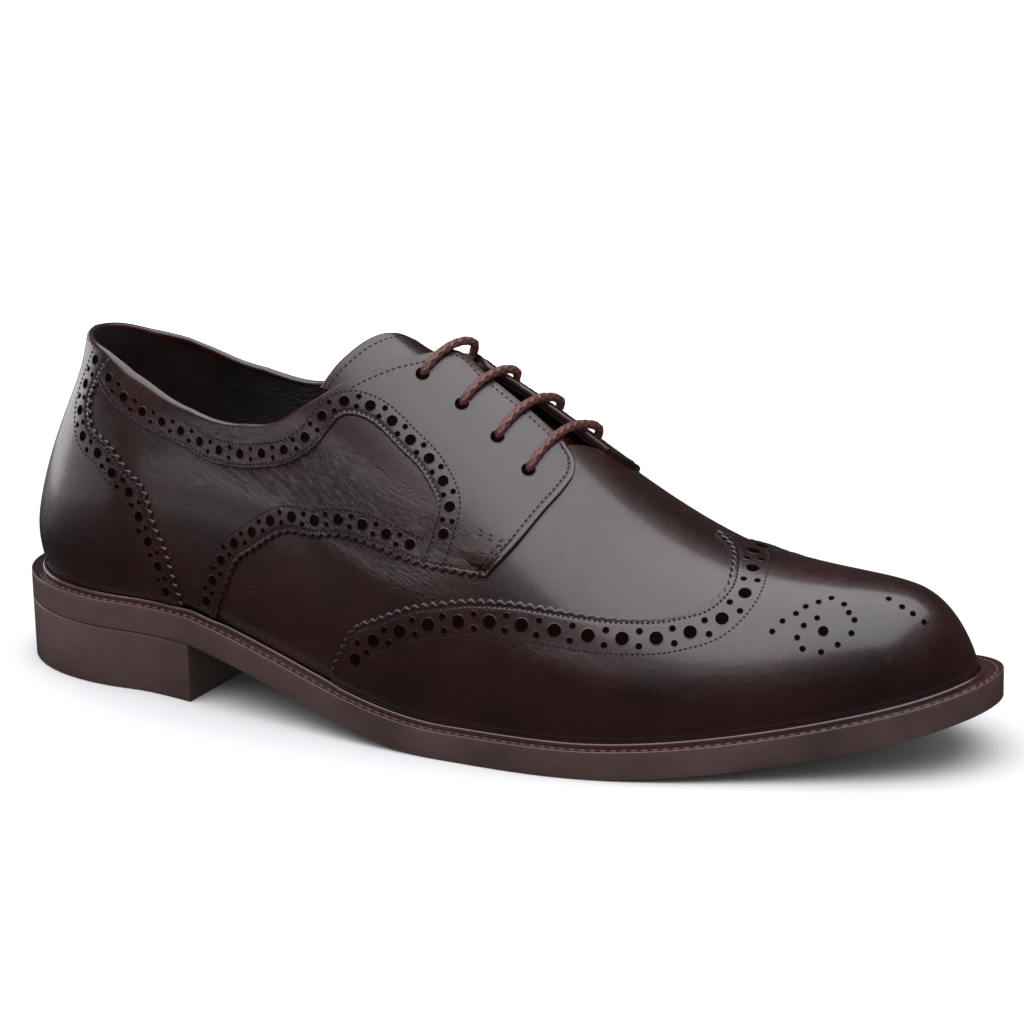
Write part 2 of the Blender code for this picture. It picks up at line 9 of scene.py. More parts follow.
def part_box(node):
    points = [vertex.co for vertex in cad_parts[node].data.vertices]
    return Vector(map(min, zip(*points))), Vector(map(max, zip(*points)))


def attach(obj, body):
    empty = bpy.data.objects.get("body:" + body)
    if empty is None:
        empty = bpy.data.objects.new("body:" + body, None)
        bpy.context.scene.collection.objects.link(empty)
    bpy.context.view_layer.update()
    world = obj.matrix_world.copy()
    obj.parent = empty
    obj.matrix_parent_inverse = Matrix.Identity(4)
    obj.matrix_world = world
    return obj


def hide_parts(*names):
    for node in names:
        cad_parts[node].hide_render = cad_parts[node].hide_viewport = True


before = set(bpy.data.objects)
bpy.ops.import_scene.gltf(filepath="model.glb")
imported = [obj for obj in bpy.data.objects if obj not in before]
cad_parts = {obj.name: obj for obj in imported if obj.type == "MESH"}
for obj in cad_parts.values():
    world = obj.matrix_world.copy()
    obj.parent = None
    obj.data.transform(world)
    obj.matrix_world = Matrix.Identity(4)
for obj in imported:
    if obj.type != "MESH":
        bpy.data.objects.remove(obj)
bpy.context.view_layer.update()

# Lengths are metres. While a piece is worked out, x runs from the back of the sole, y to the medial side
# and z up from the floor. Tables of stations are in millimetres of a shoe 305 mm long.
soleLow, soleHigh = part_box("outsole")
shoeLength = soleHigh[0] - soleLow[0]
mm = shoeLength / 305

# The last: the same curves as the CAD upper follows
last = {
    "ballWidth": 93.0 * mm,
    "instepHeight": 103.8 * mm,
    "heelHeight": 18.0 * mm,
    "heelRise": 1.0 * mm,
    "heelLength": 68.8 * mm,
    "toeSpring": 17.6 * mm,
    "flatStart": 157.5 * mm,
    "flatEnd": 194.0 * mm,
    "soleThickness": 5.0 * mm,
    "weltThickness": 3.0 * mm,
    "weltBack": 6.8 * mm,
    "weltWaist": 5.5 * mm,
    "weltBall": 6.0 * mm,
    "weltToe": 7.5 * mm,
    "heelRound": 39.2 * mm,
    "toeRound": 12.0 * mm,
    "toeDrop": 20.0 * mm,
    "wall": 1.2 * mm,
}
upperBack = last["weltBack"]
upperTip = shoeLength - last["weltToe"]
roundEnd = upperBack + last["heelRound"]
frontLength = upperTip - roundEnd
feather = last["soleThickness"] + 0.3 * mm

sections = np.array([
    # station centre lateral medial ridge bulge roundSide roundTop
    (0.135, 0.043, 0.278, 0.305, 0.884, 0.038, 2.2, 2.2),
    (0.235, 0.037, 0.337, 0.260, 0.958, 0.038, 2.1, 2.0),
    (0.338, 0.019, 0.400, 0.225, 1.103, 0.038, 2.0, 1.9),
    (0.441, 0.000, 0.453, 0.269, 1.000, 0.038, 2.0, 1.8),
    (0.544, 0.000, 0.487, 0.370, 0.842, 0.038, 2.0, 1.9),
    (0.648, 0.011, 0.502, 0.489, 0.629, 0.032, 2.0, 2.1),
    (0.751, 0.022, 0.439, 0.484, 0.450, 0.027, 2.1, 2.2),
    (0.837, 0.026, 0.347, 0.359, 0.376, 0.027, 2.2, 2.3),
    (0.923, 0.025, 0.241, 0.243, 0.311, 0.016, 2.3, 2.3),
    (0.974, 0.024, 0.144, 0.152, 0.193, 0.011, 2.2, 2.2),
])
backCurve = np.array([
    # height lean, of the back of the heel
    (0, 0), (0.15, 0.049), (0.30, -0.005), (0.45, -0.121), (0.60, -0.269), (0.75, -0.404), (0.85, -0.446),
])
topEdge = np.array([
    # station lateral medial
    (0.000, 0.610, 0.610), (0.050, 0.597, 0.590), (0.100, 0.578, 0.545), (0.157, 0.510, 0.495),
    (0.197, 0.460, 0.455), (0.240, 0.430, 0.430), (0.289, 0.420, 0.415), (0.331, 0.440, 0.435),
    (0.364, 0.510, 0.500), (0.397, 0.610, 0.600), (0.430, 0.735, 0.725), (0.456, 0.850, 0.845),
    (0.472, 0.950, 0.950), (0.508, 0.940, 0.940), (0.548, 0.920, 0.920), (0.587, 0.900, 0.900),
])
throatFront = 0.587 * shoeLength


def spline(tableX, tableY):
    # A cubic through a table, level at its first row and without bend at its last
    h = np.diff(tableX)
    slope = np.diff(tableY) / h
    count = len(tableX)
    a = np.zeros((count, count))
    b = np.zeros(count)
    a[0, 0] = 2 * h[0]
    a[0, 1] = h[0]
    b[0] = 6 * slope[0]
    for i in range(1, count - 1):
        a[i, i - 1:i + 2] = h[i - 1], 2 * (h[i - 1] + h[i]), h[i]
        b[i] = 6 * (slope[i] - slope[i - 1])
    a[-1, -1] = 1
    bend = np.linalg.solve(a, b)

    def value(x):
        x = np.clip(x, tableX[0], tableX[-1])
        i = np.clip(np.searchsorted(tableX, x) - 1, 0, count - 2)
        left = x - tableX[i]
        right = tableX[i + 1] - x
        cubic = (bend[i] * right**3 + bend[i + 1] * left**3) / (6 * h[i])
        first = tableY[i] / h[i] - bend[i] * h[i] / 6
        second = tableY[i + 1] / h[i] - bend[i + 1] * h[i] / 6
        return cubic + (first * right + second * left)

    return value


def sectionCurves():
    # The sections' columns as smooth curves over the station. Widths and the ridge are divided by the toe's
    # fall sqrt(1 - t^2) here, so that onSide can put it back and the tip stays round.
    x = np.append(upperBack + (upperTip - upperBack) * sections[:, 0], upperTip)
    x[0] = roundEnd
    fall = np.sqrt(1 - ((x[:-1] - roundEnd) / frontLength)**2)
    curves = {}
    for column, name in enumerate("centre lateral medial ridge bulge roundSide roundTop".split(), 1):
        rows = sections[:, column]
        if name in ("lateral", "medial"):
            rows = np.append(rows * last["ballWidth"] / fall, np.sqrt(last["toeRound"] * frontLength))
        elif name == "ridge":
            rows = np.append(rows * last["instepHeight"] / fall, np.sqrt(last["toeDrop"] * frontLength))
        else:
            rows = np.append(rows, rows[-1]) * (last["ballWidth"] if name in ("centre", "bulge") else 1)
        curves[name] = spline(x, rows)
    return curves


curves = sectionCurves()
backLean = spline(backCurve[:, 0], backCurve[:, 1] * last["heelRound"])


def soleBottom(x):
    # The height of the sole's underside: toeSpring * toe^1.9 + heelHeight * arch + heelRise * seat, where
    # each share goes from 0 to 1 over its own stretch
    toe = np.clip((x - last["flatEnd"]) / (shoeLength - last["flatEnd"]), 0, 1)
    back = np.clip((last["flatStart"] - x) / (last["flatStart"] - last["heelLength"]), 0, 1)
    arch = 0.55 * (3 * back**2 - 2 * back**3) + 0.45 * back**1.6
    seat = np.clip((last["heelLength"] - x) / last["heelLength"], 0, 1)
    return last["toeSpring"] * toe**1.9 + last["heelHeight"] * arch + last["heelRise"] * seat


def toeFall(station):
    # How the sections shrink towards the toe: sqrt(1 - t^2), with t from 0 at roundEnd to 1 at the tip
    t = np.clip((station - roundEnd) / frontLength, 0, 1)
    return np.sqrt(1 - t * t)


def ridgeHeight(station):
    # The ridge's height: its curve * toeFall
    return curves["ridge"](station) * toeFall(station)


def onSide(station, level):
    # A point of the upper's face: station along the shoe, level 0 at the sole, 1 on the ridge, 2 beyond it.
    # Across, a section is half * cos(level)^(2 / roundSide) + bulge, and upwards sin(level)^(2 / roundTop).
    station, level = np.broadcast_arrays(np.asarray(station, float), np.asarray(level, float))
    side = np.where((station < 0) != (level > 1), 1.0, -1.0)
    station = np.abs(station)
    angle = np.where(level > 1, 2 - level, level) * pi / 2
    front = np.maximum(station, roundEnd)
    fall = toeFall(front)
    half = np.where(side < 0, curves["lateral"](front), curves["medial"](front)) * fall
    height = np.clip(np.sin(angle), 0, 1)**(2 / curves["roundTop"](front))
    reach = half * np.clip(np.cos(angle), 0, 1)**(2 / curves["roundSide"](front))
    reach = reach + 6.75 * curves["bulge"](front) * fall * height * (1 - height)**2
    turn = np.clip(station / roundEnd, 0, 1) * pi / 2
    behind = roundEnd - (last["heelRound"] + backLean(height)) * np.cos(turn)
    x = np.where(station < roundEnd, behind, station)
    y = curves["centre"](front) + side * reach * np.where(station < roundEnd, np.sin(turn), 1)
    z = soleBottom(x) + feather + ridgeHeight(front) * height
    return np.stack([x, y, z], -1)


def normalAt(station, level):
    # The outward normal: a short step along the station crossed with a short step up the level, and straight
    # ahead at the tip
    station, level = np.broadcast_arrays(np.asarray(station, float), np.asarray(level, float))
    step = 0.4 * mm * np.maximum(toeFall(np.abs(station)), 0.02)
    limit = upperTip - 1e-8
    ahead = onSide(np.clip(station + step, -limit, limit), level)
    along = ahead - onSide(np.clip(station - step, -limit, limit), level)
    up = onSide(station, np.minimum(level + 0.006, 2)) - onSide(station, np.maximum(level - 0.006, 0))
    normal = np.cross(along, up)
    size = np.linalg.norm(normal, axis=-1, keepdims=True)
    tip = (np.abs(station) > upperTip - 1e-6)[..., None] | (size < 1e-14)
    return np.where(tip, (1.0, 0.0, 0.0), normal / np.where(size < 1e-14, 1, size))


def tangents(station, level):
    # How the point moves with its station and with its level: two differences over small steps
    ds = 0.2 * mm
    dv = 0.002
    alongS = (onSide(station + ds, level) - onSide(station - ds, level)) / (2 * ds)
    alongV = (onSide(station, level + dv) - onSide(station, level - dv)) / (2 * dv)
    return alongS, alongV


def onFace(offset, alongS, alongV):
    # The changes of station and level that answer to an offset in space: least squares with the two tangents
    aa, ab, bb = ((a * b).sum(-1) for a, b in ((alongS, alongS), (alongS, alongV), (alongV, alongV)))
    la, lb = (offset * alongS).sum(-1), (offset * alongV).sum(-1)
    scale = aa * bb - ab * ab
    return (la * bb - lb * ab) / scale, (lb * aa - la * ab) / scale


def acrossPath(path):
    # The unit vector across the path, on its left seen from outside, and the face's tangents there
    alongS, alongV = tangents(*path)
    ahead = alongS * np.gradient(path[0])[:, None] + alongV * np.gradient(path[1])[:, None]
    ahead = ahead / np.maximum(np.linalg.norm(ahead, axis=1, keepdims=True), 1e-12)
    return np.cross(normalAt(*path), ahead), alongS, alongV


def lifted(station, level, lift):
    # The point moved off the face along its normal by lift
    return onSide(station, level) + normalAt(station, level) * np.asarray(lift)[..., None]


def levelAt(station, height):
    # The level at which the face reaches a height: 2 / pi * asin((height / ridge)^(roundTop / 2))
    station = np.maximum(np.abs(station), roundEnd)
    share = np.clip(height / np.maximum(ridgeHeight(station), 1e-9), 0, 1)
    return np.arcsin(share**(curves["roundTop"](station) / 2)) * 2 / pi


def hermite(table, at):
    # Smooth values at positions from a table whose first column is the position
    t = table[:, 0]
    rows = table[:, 1:]
    slope = np.gradient(rows, t, axis=0)
    i = np.clip(np.searchsorted(t, at) - 1, 0, len(t) - 2)
    h = (t[i + 1] - t[i])[:, None]
    u = np.clip((at - t[i])[:, None] / h, 0, 1)
    near = (2 * u**3 - 3 * u**2 + 1) * rows[i] + (u**3 - 2 * u**2 + u) * h * slope[i]
    return near + (3 * u**2 - 2 * u**3) * rows[i + 1] + (u**3 - u**2) * h * slope[i + 1]


def openLevel(station, side):
    # The level of the opening's edge, from the table's column for side 1 (lateral) or 2 (medial)
    share = np.abs(station) / shoeLength
    return hermite(topEdge[:, (0, side)], share.ravel())[:, 0].reshape(share.shape)


def forward(station):
    # How far the throat's medial side is ahead of its lateral side
    share = np.abs(station) / shoeLength
    rise = np.clip((share - 0.33) / 0.14, 0, 1)
    fade = np.clip((0.75 - share) / 0.13, 0, 1)
    return 7 * mm * (3 - 2 * rise) * rise**2 * (3 - 2 * fade) * fade**2


def sided(path, side):
    # A lateral path, or for side 2 its answer on the medial side, where the opening is a little lower
    station, level = path
    if side == 1:
        return station, level
    top = openLevel(station, 1)
    drop = (openLevel(station, 2) / top - 1) * np.clip(level / top, 0, 1)**3
    return station + forward(station), 2 - level * (1 + drop)


def centred(path):
    # The wing's centre line lies to the medial side: level + 0.085 * sin(level * 90 degrees)^4
    station, level = path
    return station, level + 0.085 * np.sin(level * pi / 2)**4


def pathLength(path):
    # The length along a path from its start to each of its points
    step = np.linalg.norm(np.diff(onSide(*path), axis=0), axis=1)
    return np.append(0, np.cumsum(step))


def even(path, count):
    # The path with count points evenly spaced on the face
    length = pathLength(path)
    at = np.linspace(0, length[-1], count)
    return np.interp(at, length, path[0]), np.interp(at, length, path[1])


def smooth(rows, count=400):
    # A smooth path through rows of (station in mm, level)
    rows = np.array(rows, float)
    chord = np.hypot(np.diff(rows[:, 0]), np.diff(rows[:, 1]) * 60)
    t = np.append(0, np.cumsum(chord))
    found = hermite(np.column_stack([t, rows]), np.linspace(0, t[-1], count))
    return even((found[:, 0] * mm, found[:, 1]), count)


def joined(*paths):
    # Several paths, one after the other, as one
    return tuple(np.concatenate(parts) for parts in zip(*paths))


def moved(path, side):
    # The path moved sideways on the face by side metres, to the left of its direction seen from outside
    for _ in range(4):
        left, alongS, alongV = acrossPath(path)
        step = onFace(left * side / 4, alongS, alongV)
        path = path[0] + step[0], path[1] + step[1]
    return path


# Rings and outlines
fine = {"roundSteps": 44, "frontSteps": 150}


def halfStations(end):
    # Stations along one side: even steps to roundEnd, then roundEnd + (end - roundEnd) * sin(turn)
    back = roundEnd * np.arange(fine["roundSteps"]) / fine["roundSteps"]
    turn = np.arange(fine["frontSteps"] + 1) / fine["frontSteps"] * pi / 2
    return np.append(back, roundEnd + (end - roundEnd) * np.sin(turn))


def frontEnd(height):
    # The station at which the ridge comes down to a height, found by halving
    low, high = roundEnd, upperTip
    for _ in range(60):
        middle = (low + high) / 2
        if ridgeHeight(middle) > height:
            low = middle
        else:
            high = middle
    return low


def ring(height, lift):
    # A closed ring round the upper at one height above the feather
    end = frontEnd(height) if height > 0 else upperTip
    half = halfStations(end)
    level = levelAt(half, height)
    level[-1] = 1 if height > 0 else 0
    points = lifted(np.append(half, half[-2:0:-1]), np.append(level, 2 - level[-2:0:-1]), lift)
    points[:, 2] = soleBottom(points[:, 0]) + feather + height
    return points


def outline(inset, height):
    # The edge of the sole, moved in by inset and up by height above the sole's underside
    edge = ring(0, 0)
    ahead = np.roll(edge, -1, 0) - np.roll(edge, 1, 0)
    outward = np.stack([ahead[:, 1], -ahead[:, 0]], -1)
    outward = outward / np.linalg.norm(outward, axis=1, keepdims=True)
    share = (edge[:, 0] - upperBack) / (upperTip - upperBack)
    widths = [last[name] for name in ("weltBack", "weltWaist", "weltBall", "weltToe")]
    width = np.interp(share, (0, 0.35, 0.65, 1), widths)
    flat = edge[:, :2] + outward * (width - inset)[:, None]
    return np.column_stack([flat, soleBottom(flat[:, 0]) + height])


edgeY = outline(0, 0)[:, 1]
middleY = (edgeY.min() + edgeY.max()) / 2
origin = np.array([shoeLength / 2, middleY, 0])
print("last ready")


# Materials
def nodeTree(name):
    made = bpy.data.materials.new(name)
    made.use_nodes = True
    nodes = made.node_tree.nodes
    return made, nodes, made.node_tree.links, nodes["Principled BSDF"]


def addNode(nodes, kind, **values):
    # A new node with the named sockets and settings
    made = nodes.new(kind)
    for name, value in values.items():
        if name in made.inputs:
            made.inputs[name].default_value = value
        else:
            setattr(made, name, value)
    return made


def leatherSkin():
    # One group for every leather: soft clouds between two colours, uneven gloss, pores, and fine wrinkles
    # where the surface has the attribute wrinkle. It gives colour, roughness and normal.
    tree = bpy.data.node_groups.new("leatherSkin", "ShaderNodeTree")
    sockets = [
        ("INPUT", "NodeSocketColor", "Dark Light"), ("INPUT", "NodeSocketFloat", "Rough Grain Pores Swell"),
        ("OUTPUT", "NodeSocketColor", "Color"), ("OUTPUT", "NodeSocketFloat", "Roughness"),
        ("OUTPUT", "NodeSocketVector", "Normal"),
    ]
    for way, kind, names in sockets:
        for socket in names.split():
            tree.interface.new_socket(socket, in_out=way, socket_type=kind)
    nodes = tree.nodes
    links = tree.links
    given = nodes.new("NodeGroupInput")
    result = nodes.new("NodeGroupOutput")
    place = addNode(nodes, "ShaderNodeTexCoord")
    clouds = addNode(nodes, "ShaderNodeTexNoise", Scale=32.0, Detail=4.0, Roughness=0.55)
    links.new(place.outputs["Object"], clouds.inputs["Vector"])
    spread = addNode(nodes, "ShaderNodeMapRange")
    spread.inputs["From Min"].default_value = 0.35
    spread.inputs["From Max"].default_value = 0.68
    links.new(clouds.outputs["Fac"], spread.inputs["Value"])
    colour = addNode(nodes, "ShaderNodeMix", data_type="RGBA")
    links.new(spread.outputs["Result"], colour.inputs[0])
    links.new(given.outputs["Dark"], colour.inputs[6])
    links.new(given.outputs["Light"], colour.inputs[7])
    links.new(colour.outputs[2], result.inputs["Color"])
    patches = addNode(nodes, "ShaderNodeTexNoise", Scale=240.0, Detail=3.0)
    links.new(place.outputs["Object"], patches.inputs["Vector"])
    uneven = addNode(nodes, "ShaderNodeMapRange")
    uneven.inputs["From Min"].default_value = 0.3
    uneven.inputs["From Max"].default_value = 0.7
    uneven.inputs["To Min"].default_value = -0.03
    uneven.inputs["To Max"].default_value = 0.05
    links.new(patches.outputs["Fac"], uneven.inputs["Value"])
    gloss = addNode(nodes, "ShaderNodeMath", operation="ADD")
    links.new(uneven.outputs["Result"], gloss.inputs[0])
    links.new(given.outputs["Rough"], gloss.inputs[1])
    links.new(gloss.outputs["Value"], result.inputs["Roughness"])
    swell = addNode(nodes, "ShaderNodeTexNoise", Scale=130.0, Detail=4.0, Roughness=0.6)
    links.new(place.outputs["Object"], swell.inputs["Vector"])
    rise = addNode(nodes, "ShaderNodeBump", Distance=0.0007)
    links.new(given.outputs["Swell"], rise.inputs["Strength"])
    links.new(swell.outputs["Fac"], rise.inputs["Height"])
    cells = addNode(nodes, "ShaderNodeTexVoronoi", feature="DISTANCE_TO_EDGE")
    links.new(place.outputs["Object"], cells.inputs["Vector"])
    links.new(given.outputs["Grain"], cells.inputs["Scale"])
    furrow = addNode(nodes, "ShaderNodeMapRange")
    furrow.inputs["From Max"].default_value = 0.12
    links.new(cells.outputs["Distance"], furrow.inputs["Value"])
    pores = addNode(nodes, "ShaderNodeBump", Distance=0.00008)
    links.new(given.outputs["Pores"], pores.inputs["Strength"])
    links.new(furrow.outputs["Result"], pores.inputs["Height"])
    links.new(rise.outputs["Normal"], pores.inputs["Normal"])
    sheet = addNode(nodes, "ShaderNodeUVMap", uv_map="sheet")
    turned = addNode(nodes, "ShaderNodeMapping", vector_type="TEXTURE")
    turned.inputs["Rotation"].default_value = (0, 0, radians(-17))
    turned.inputs["Scale"].default_value = (0.030, 0.0085, 1.0)
    links.new(sheet.outputs["UV"], turned.inputs["Vector"])
    lines = addNode(nodes, "ShaderNodeTexNoise", Scale=1.0, Detail=5.0, Roughness=0.62, Distortion=0.9)
    links.new(turned.outputs["Vector"], lines.inputs["Vector"])
    wrinkled = addNode(nodes, "ShaderNodeAttribute", attribute_name="wrinkle")
    wrinkles = addNode(nodes, "ShaderNodeBump", Distance=0.0022)
    links.new(wrinkled.outputs["Fac"], wrinkles.inputs["Strength"])
    links.new(lines.outputs["Fac"], wrinkles.inputs["Height"])
    links.new(pores.outputs["Normal"], wrinkles.inputs["Normal"])
    links.new(wrinkles.outputs["Normal"], result.inputs["Normal"])
    return tree


leatherGroup = leatherSkin()


def leather(name, settings):
    # A leather: the group's colour, gloss and normal under a thin coat
    made, nodes, links, shader = nodeTree(name)
    skin = nodes.new("ShaderNodeGroup")
    skin.node_tree = leatherGroup
    skin.inputs["Dark"].default_value = (*settings["dark"], 1)
    skin.inputs["Light"].default_value = (*settings["light"], 1)
    for socket in ("Rough", "Grain", "Pores", "Swell"):
        skin.inputs[socket].default_value = settings[socket.lower()]
    for given, taken in (("Color", "Base Color"), ("Roughness", "Roughness"), ("Normal", "Normal")):
        links.new(skin.outputs[given], shader.inputs[taken])
    shader.inputs["Coat Weight"].default_value = settings["coat"]
    shader.inputs["Coat Roughness"].default_value = settings["coatRough"]
    made.diffuse_color = (*settings["light"], 1)
    return made


# dark and light are the two colours of its clouds, grain the pores in a metre, swell the unevenness
upperLeather = {"dark": (0.0068, 0.0016, 0.0014), "light": (0.0185, 0.0039, 0.0032), "rough": 0.24,
                "grain": 1700.0, "pores": 0.28, "swell": 0.16, "coat": 0.40, "coatRough": 0.16}
liningLeather = {"dark": (0.007, 0.0036, 0.0030), "light": (0.016, 0.0085, 0.0070), "rough": 0.60,
                 "grain": 1100.0, "pores": 0.30, "swell": 0.15, "coat": 0.0, "coatRough": 0.3}
soleLeather = {"dark": (0.036, 0.020, 0.0175), "light": (0.065, 0.0365, 0.032), "rough": 0.38,
               "grain": 2600.0, "pores": 0.15, "swell": 0.10, "coat": 0.20, "coatRough": 0.30}
beadLeather = {"dark": (0.018, 0.007, 0.006), "light": (0.040, 0.014, 0.012), "rough": 0.26,
               "grain": 2200.0, "pores": 0.15, "swell": 0.05, "coat": 0.5, "coatRough": 0.15}
looks = {
    "leather": leather("polishedLeather", upperLeather),
    "lining": leather("liningLeather", liningLeather),
    "sole": leather("soleLeather", soleLeather),
    "bead": leather("beadLeather", beadLeather),
}


def plain(name, colour, rough):
    # One colour, with fine fibres in the bump
    made, nodes, links, shader = nodeTree(name)
    place = addNode(nodes, "ShaderNodeTexCoord")
    fibres = addNode(nodes, "ShaderNodeTexNoise", Scale=2400.0, Detail=2.0)
    links.new(place.outputs["Object"], fibres.inputs["Vector"])
    bump = addNode(nodes, "ShaderNodeBump", Strength=0.3, Distance=0.00008)
    links.new(fibres.outputs["Fac"], bump.inputs["Height"])
    links.new(bump.outputs["Normal"], shader.inputs["Normal"])
    shader.inputs["Base Color"].default_value = (*colour, 1)
    shader.inputs["Roughness"].default_value = rough
    made.diffuse_color = (*colour, 1)
    return made


looks["thread"] = plain("sewingThread", (0.003, 0.002, 0.002), 0.8)
# The holes' colour: the leather under each hole, made much darker and without gloss as painted shade of the
# hole's depth
looks["hole"] = plain("holePaintedShade", (0.0030, 0.0014, 0.0012), 1.0)
looks["hole"].node_tree.nodes["Principled BSDF"].inputs["Specular IOR Level"].default_value = 0.0
looks["weltThread"] = plain("weltThread", (0.075, 0.022, 0.018), 0.5)
looks["lace"] = plain("laceBraid", (0.068, 0.019, 0.014), 0.45)
print("materials ready")


# Meshes
def gridFaces(rows, columns, wrap=False, start=0):
    number = np.arange(rows * columns).reshape(rows, columns) + start
    if wrap:
        number = np.hstack([number, number[:, :1]])
    return np.stack([number[:-1, :-1], number[:-1, 1:], number[1:, 1:], number[1:, :-1]], -1).reshape(-1, 4)


def wrinkleMask(station, level):
    # How wrinkled the leather is at a place: a sum of soft patches,
    # amount * exp(-(along / long)^2 - (up / high)^2)
    patches = [
        # station level long high amount
        (92, 0.330, 26, 0.055, 0.70), (122, 0.385, 26, 0.065, 1.00), (146, 0.430, 16, 0.050, 0.70),
        (104, 0.400, 20, 0.050, 0.70), (60, 0.290, 16, 0.060, 0.30), (158, 0.455, 8, 0.030, 0.50),
        (122, 0.320, 30, 0.030, 0.45), (80, 0.40, 30, 0.03, 0.5), (196, 0.270, 18, 0.040, 0.22),
        (228, 0.330, 20, 0.035, 0.22), (150, 0.240, 40, 0.05, 0.14),
    ]
    s = np.abs(station) / mm
    v = np.where(level > 1, 2 - level, level)
    total = 0.03 + 0 * s
    for place, up, long, high, amount in patches:
        total = total + amount * np.exp(-((s - place) / long)**2 - ((v - up) / high)**2)
    return np.clip(total, 0, 1)


def faceNormals(points, faces):
    # The cross product of each face's two diagonals
    return np.cross(points[faces[:, 2]] - points[faces[:, 0]], points[faces[:, 3]] - points[faces[:, 1]])


def ridden(name, mesh):
    # An object of the mesh that moves with the shoe
    mesh.update()
    made = bpy.data.objects.new(name, mesh)
    bpy.context.collection.objects.link(made)
    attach(made, "root")
    return made


def piece(name, points, faces, slots, which=None, outward=None, sheet=None):
    # A smooth mesh that rides with the shoe. which is each face's material, outward a normal per point, and
    # sheet the station and level of each point, for the map sheet (in decimetres) and the wrinkle mask.
    points = np.asarray(points, float).reshape(-1, 3)
    faces = np.asarray(faces)
    if outward is not None:
        if (faceNormals(points, faces) * outward.reshape(-1, 3)[faces[:, 0]]).sum() < 0:
            faces = faces[:, ::-1]
    mesh = bpy.data.meshes.new(name)
    mesh.from_pydata((points - origin).tolist(), [], faces.tolist())
    mesh.polygons.foreach_set("use_smooth", np.ones(len(faces), bool))
    for look in slots:
        mesh.materials.append(looks[look])
    if which is not None:
        mesh.polygons.foreach_set("material_index", np.asarray(which, np.int32))
    if sheet is not None:
        station, level = (np.asarray(values, float).ravel() for values in sheet)
        corners = np.empty(len(mesh.loops), np.int32)
        mesh.loops.foreach_get("vertex_index", corners)
        bent = level * 0.13 - 4.2 * np.clip(station - 0.115, -0.03, 0.03)**2
        flat = np.column_stack([station, bent]) * 10
        mesh.uv_layers.new(name="sheet").data.foreach_set("uv", flat[corners].ravel())
        wrinkle = mesh.attributes.new("wrinkle", "FLOAT", "POINT")
        wrinkle.data.foreach_set("value", wrinkleMask(station, level))
    merged = bmesh.new()
    merged.from_mesh(mesh)
    bmesh.ops.remove_doubles(merged, verts=merged.verts, dist=0.002 * mm)
    merged.to_mesh(mesh)
    merged.free()
    return ridden(name, mesh)


def teeth(length, amount):
    # How far the edge stands out at each point: rounded teeth, amount 0 to 1 where they are wanted
    count = max(round(length[-1] / pinking["pitch"]), 1)
    wave = np.abs(np.sin(pi * count * length / length[-1]))**0.8
    return pinking["depth"] * (wave - 0.5) * amount


pinking = {"pitch": 2.9 * mm, "depth": 1.45 * mm, "fade": 1.6 * mm}
edgeRows = np.array([
    # inward height, as the distance from the edge in mm and the share of the thickness
    (0.00, -0.30), (0.00, 0.15), (0.04, 0.50), (0.12, 0.80), (0.26, 0.95), (0.48, 1.02), (0.80, 1.00),
    (1.10, 0.95), (1.35, 0.86), (1.60, 0.86), (1.85, 0.95), (2.20, 1.00),
])


def inwardStep(path, other):
    # The change of station and of level that goes one metre across the path towards the other one, smoothed
    across, alongS, alongV = acrossPath(path)
    towards = onSide(*other) - onSide(*path)
    if (across * towards).sum() < 0:
        across = -across
    steps = np.stack(onFace(across, alongS, alongV))
    near = np.abs(np.arange(-6, 7))
    weights = (7 - near) / (7 - near).sum()
    padded = np.pad(steps, ((0, 0), (6, 6)), mode="edge")
    return np.stack([np.convolve(row, weights, "valid") for row in padded])


def panel(low, high, rows, lift, thickness,
          lowTeeth=None, highTeeth=None, press=None, adjust=None, highRoll=1.0):
    # A leather panel between two paths on the face. Its edge rows lie at inward distances across each path,
    # less the teeth where it is pinked; between them a point is A + (B - A) * share. Heights are lift plus
    # the row's share of the thickness, and highRoll 0 leaves the high edge flat.
    rib = np.maximum(np.linalg.norm(onSide(*high) - onSide(*low), axis=1), 0.3 * mm)
    inward = edgeRows[:, 0] * mm
    narrow = np.minimum(1, 0.42 * rib / inward[-1])
    sides = []
    for path, other, amount in ((low, high, lowTeeth), (high, low, highTeeth)):
        step = inwardStep(path, other)
        distance = inward[:, None] * narrow
        if amount is not None:
            out = teeth(pathLength(path), amount) * narrow
            distance = distance - out * np.clip(1 - inward / pinking["fade"], 0, 1)[:, None]
        sides.append((path[0] + distance * step[0], path[1] + distance * step[1]))
    share = np.linspace(0, 1, rows + 2)[1:-1, None]
    station, level = (np.vstack([a, a[-1] + (b[-1] - a[-1]) * share, b[::-1]]) for a, b in zip(*sides))
    station = np.clip(station, -upperTip + 1e-7, upperTip - 1e-7)
    if adjust is not None:
        level = adjust(station, level)
    rolled = 1 - (1 - edgeRows[::-1, 1][:, None]) * highRoll * np.ones(len(rib))
    heights = np.vstack([edgeRows[:, 1][:, None] + 0 * rib, np.ones((rows, len(rib))), rolled])
    heights = heights * thickness + lift
    if press is not None:
        heights = heights + press(station, level)
    normal = normalAt(station, level)
    return onSide(station, level) + normal * heights[..., None], normal, (station, level)


def panelPiece(name, *args, **kwargs):
    # A panel as a leather piece, with the same values as panel
    points, normal, sheet = panel(*args, **kwargs)
    rows, columns = points.shape[:2]
    return piece(name, points, gridFaces(rows, columns), ["leather"], outward=normal, sheet=sheet)


# Heights of the layers above the base upper, in metres
layers = {"wing": 1.05 * mm, "quarter": 0.85 * mm, "facing": 1.45 * mm, "counter": 1.55 * mm}
panelRows = {"quarter": 90, "facing": 60, "counter": 100}  # rows of faces between a panel's two edges

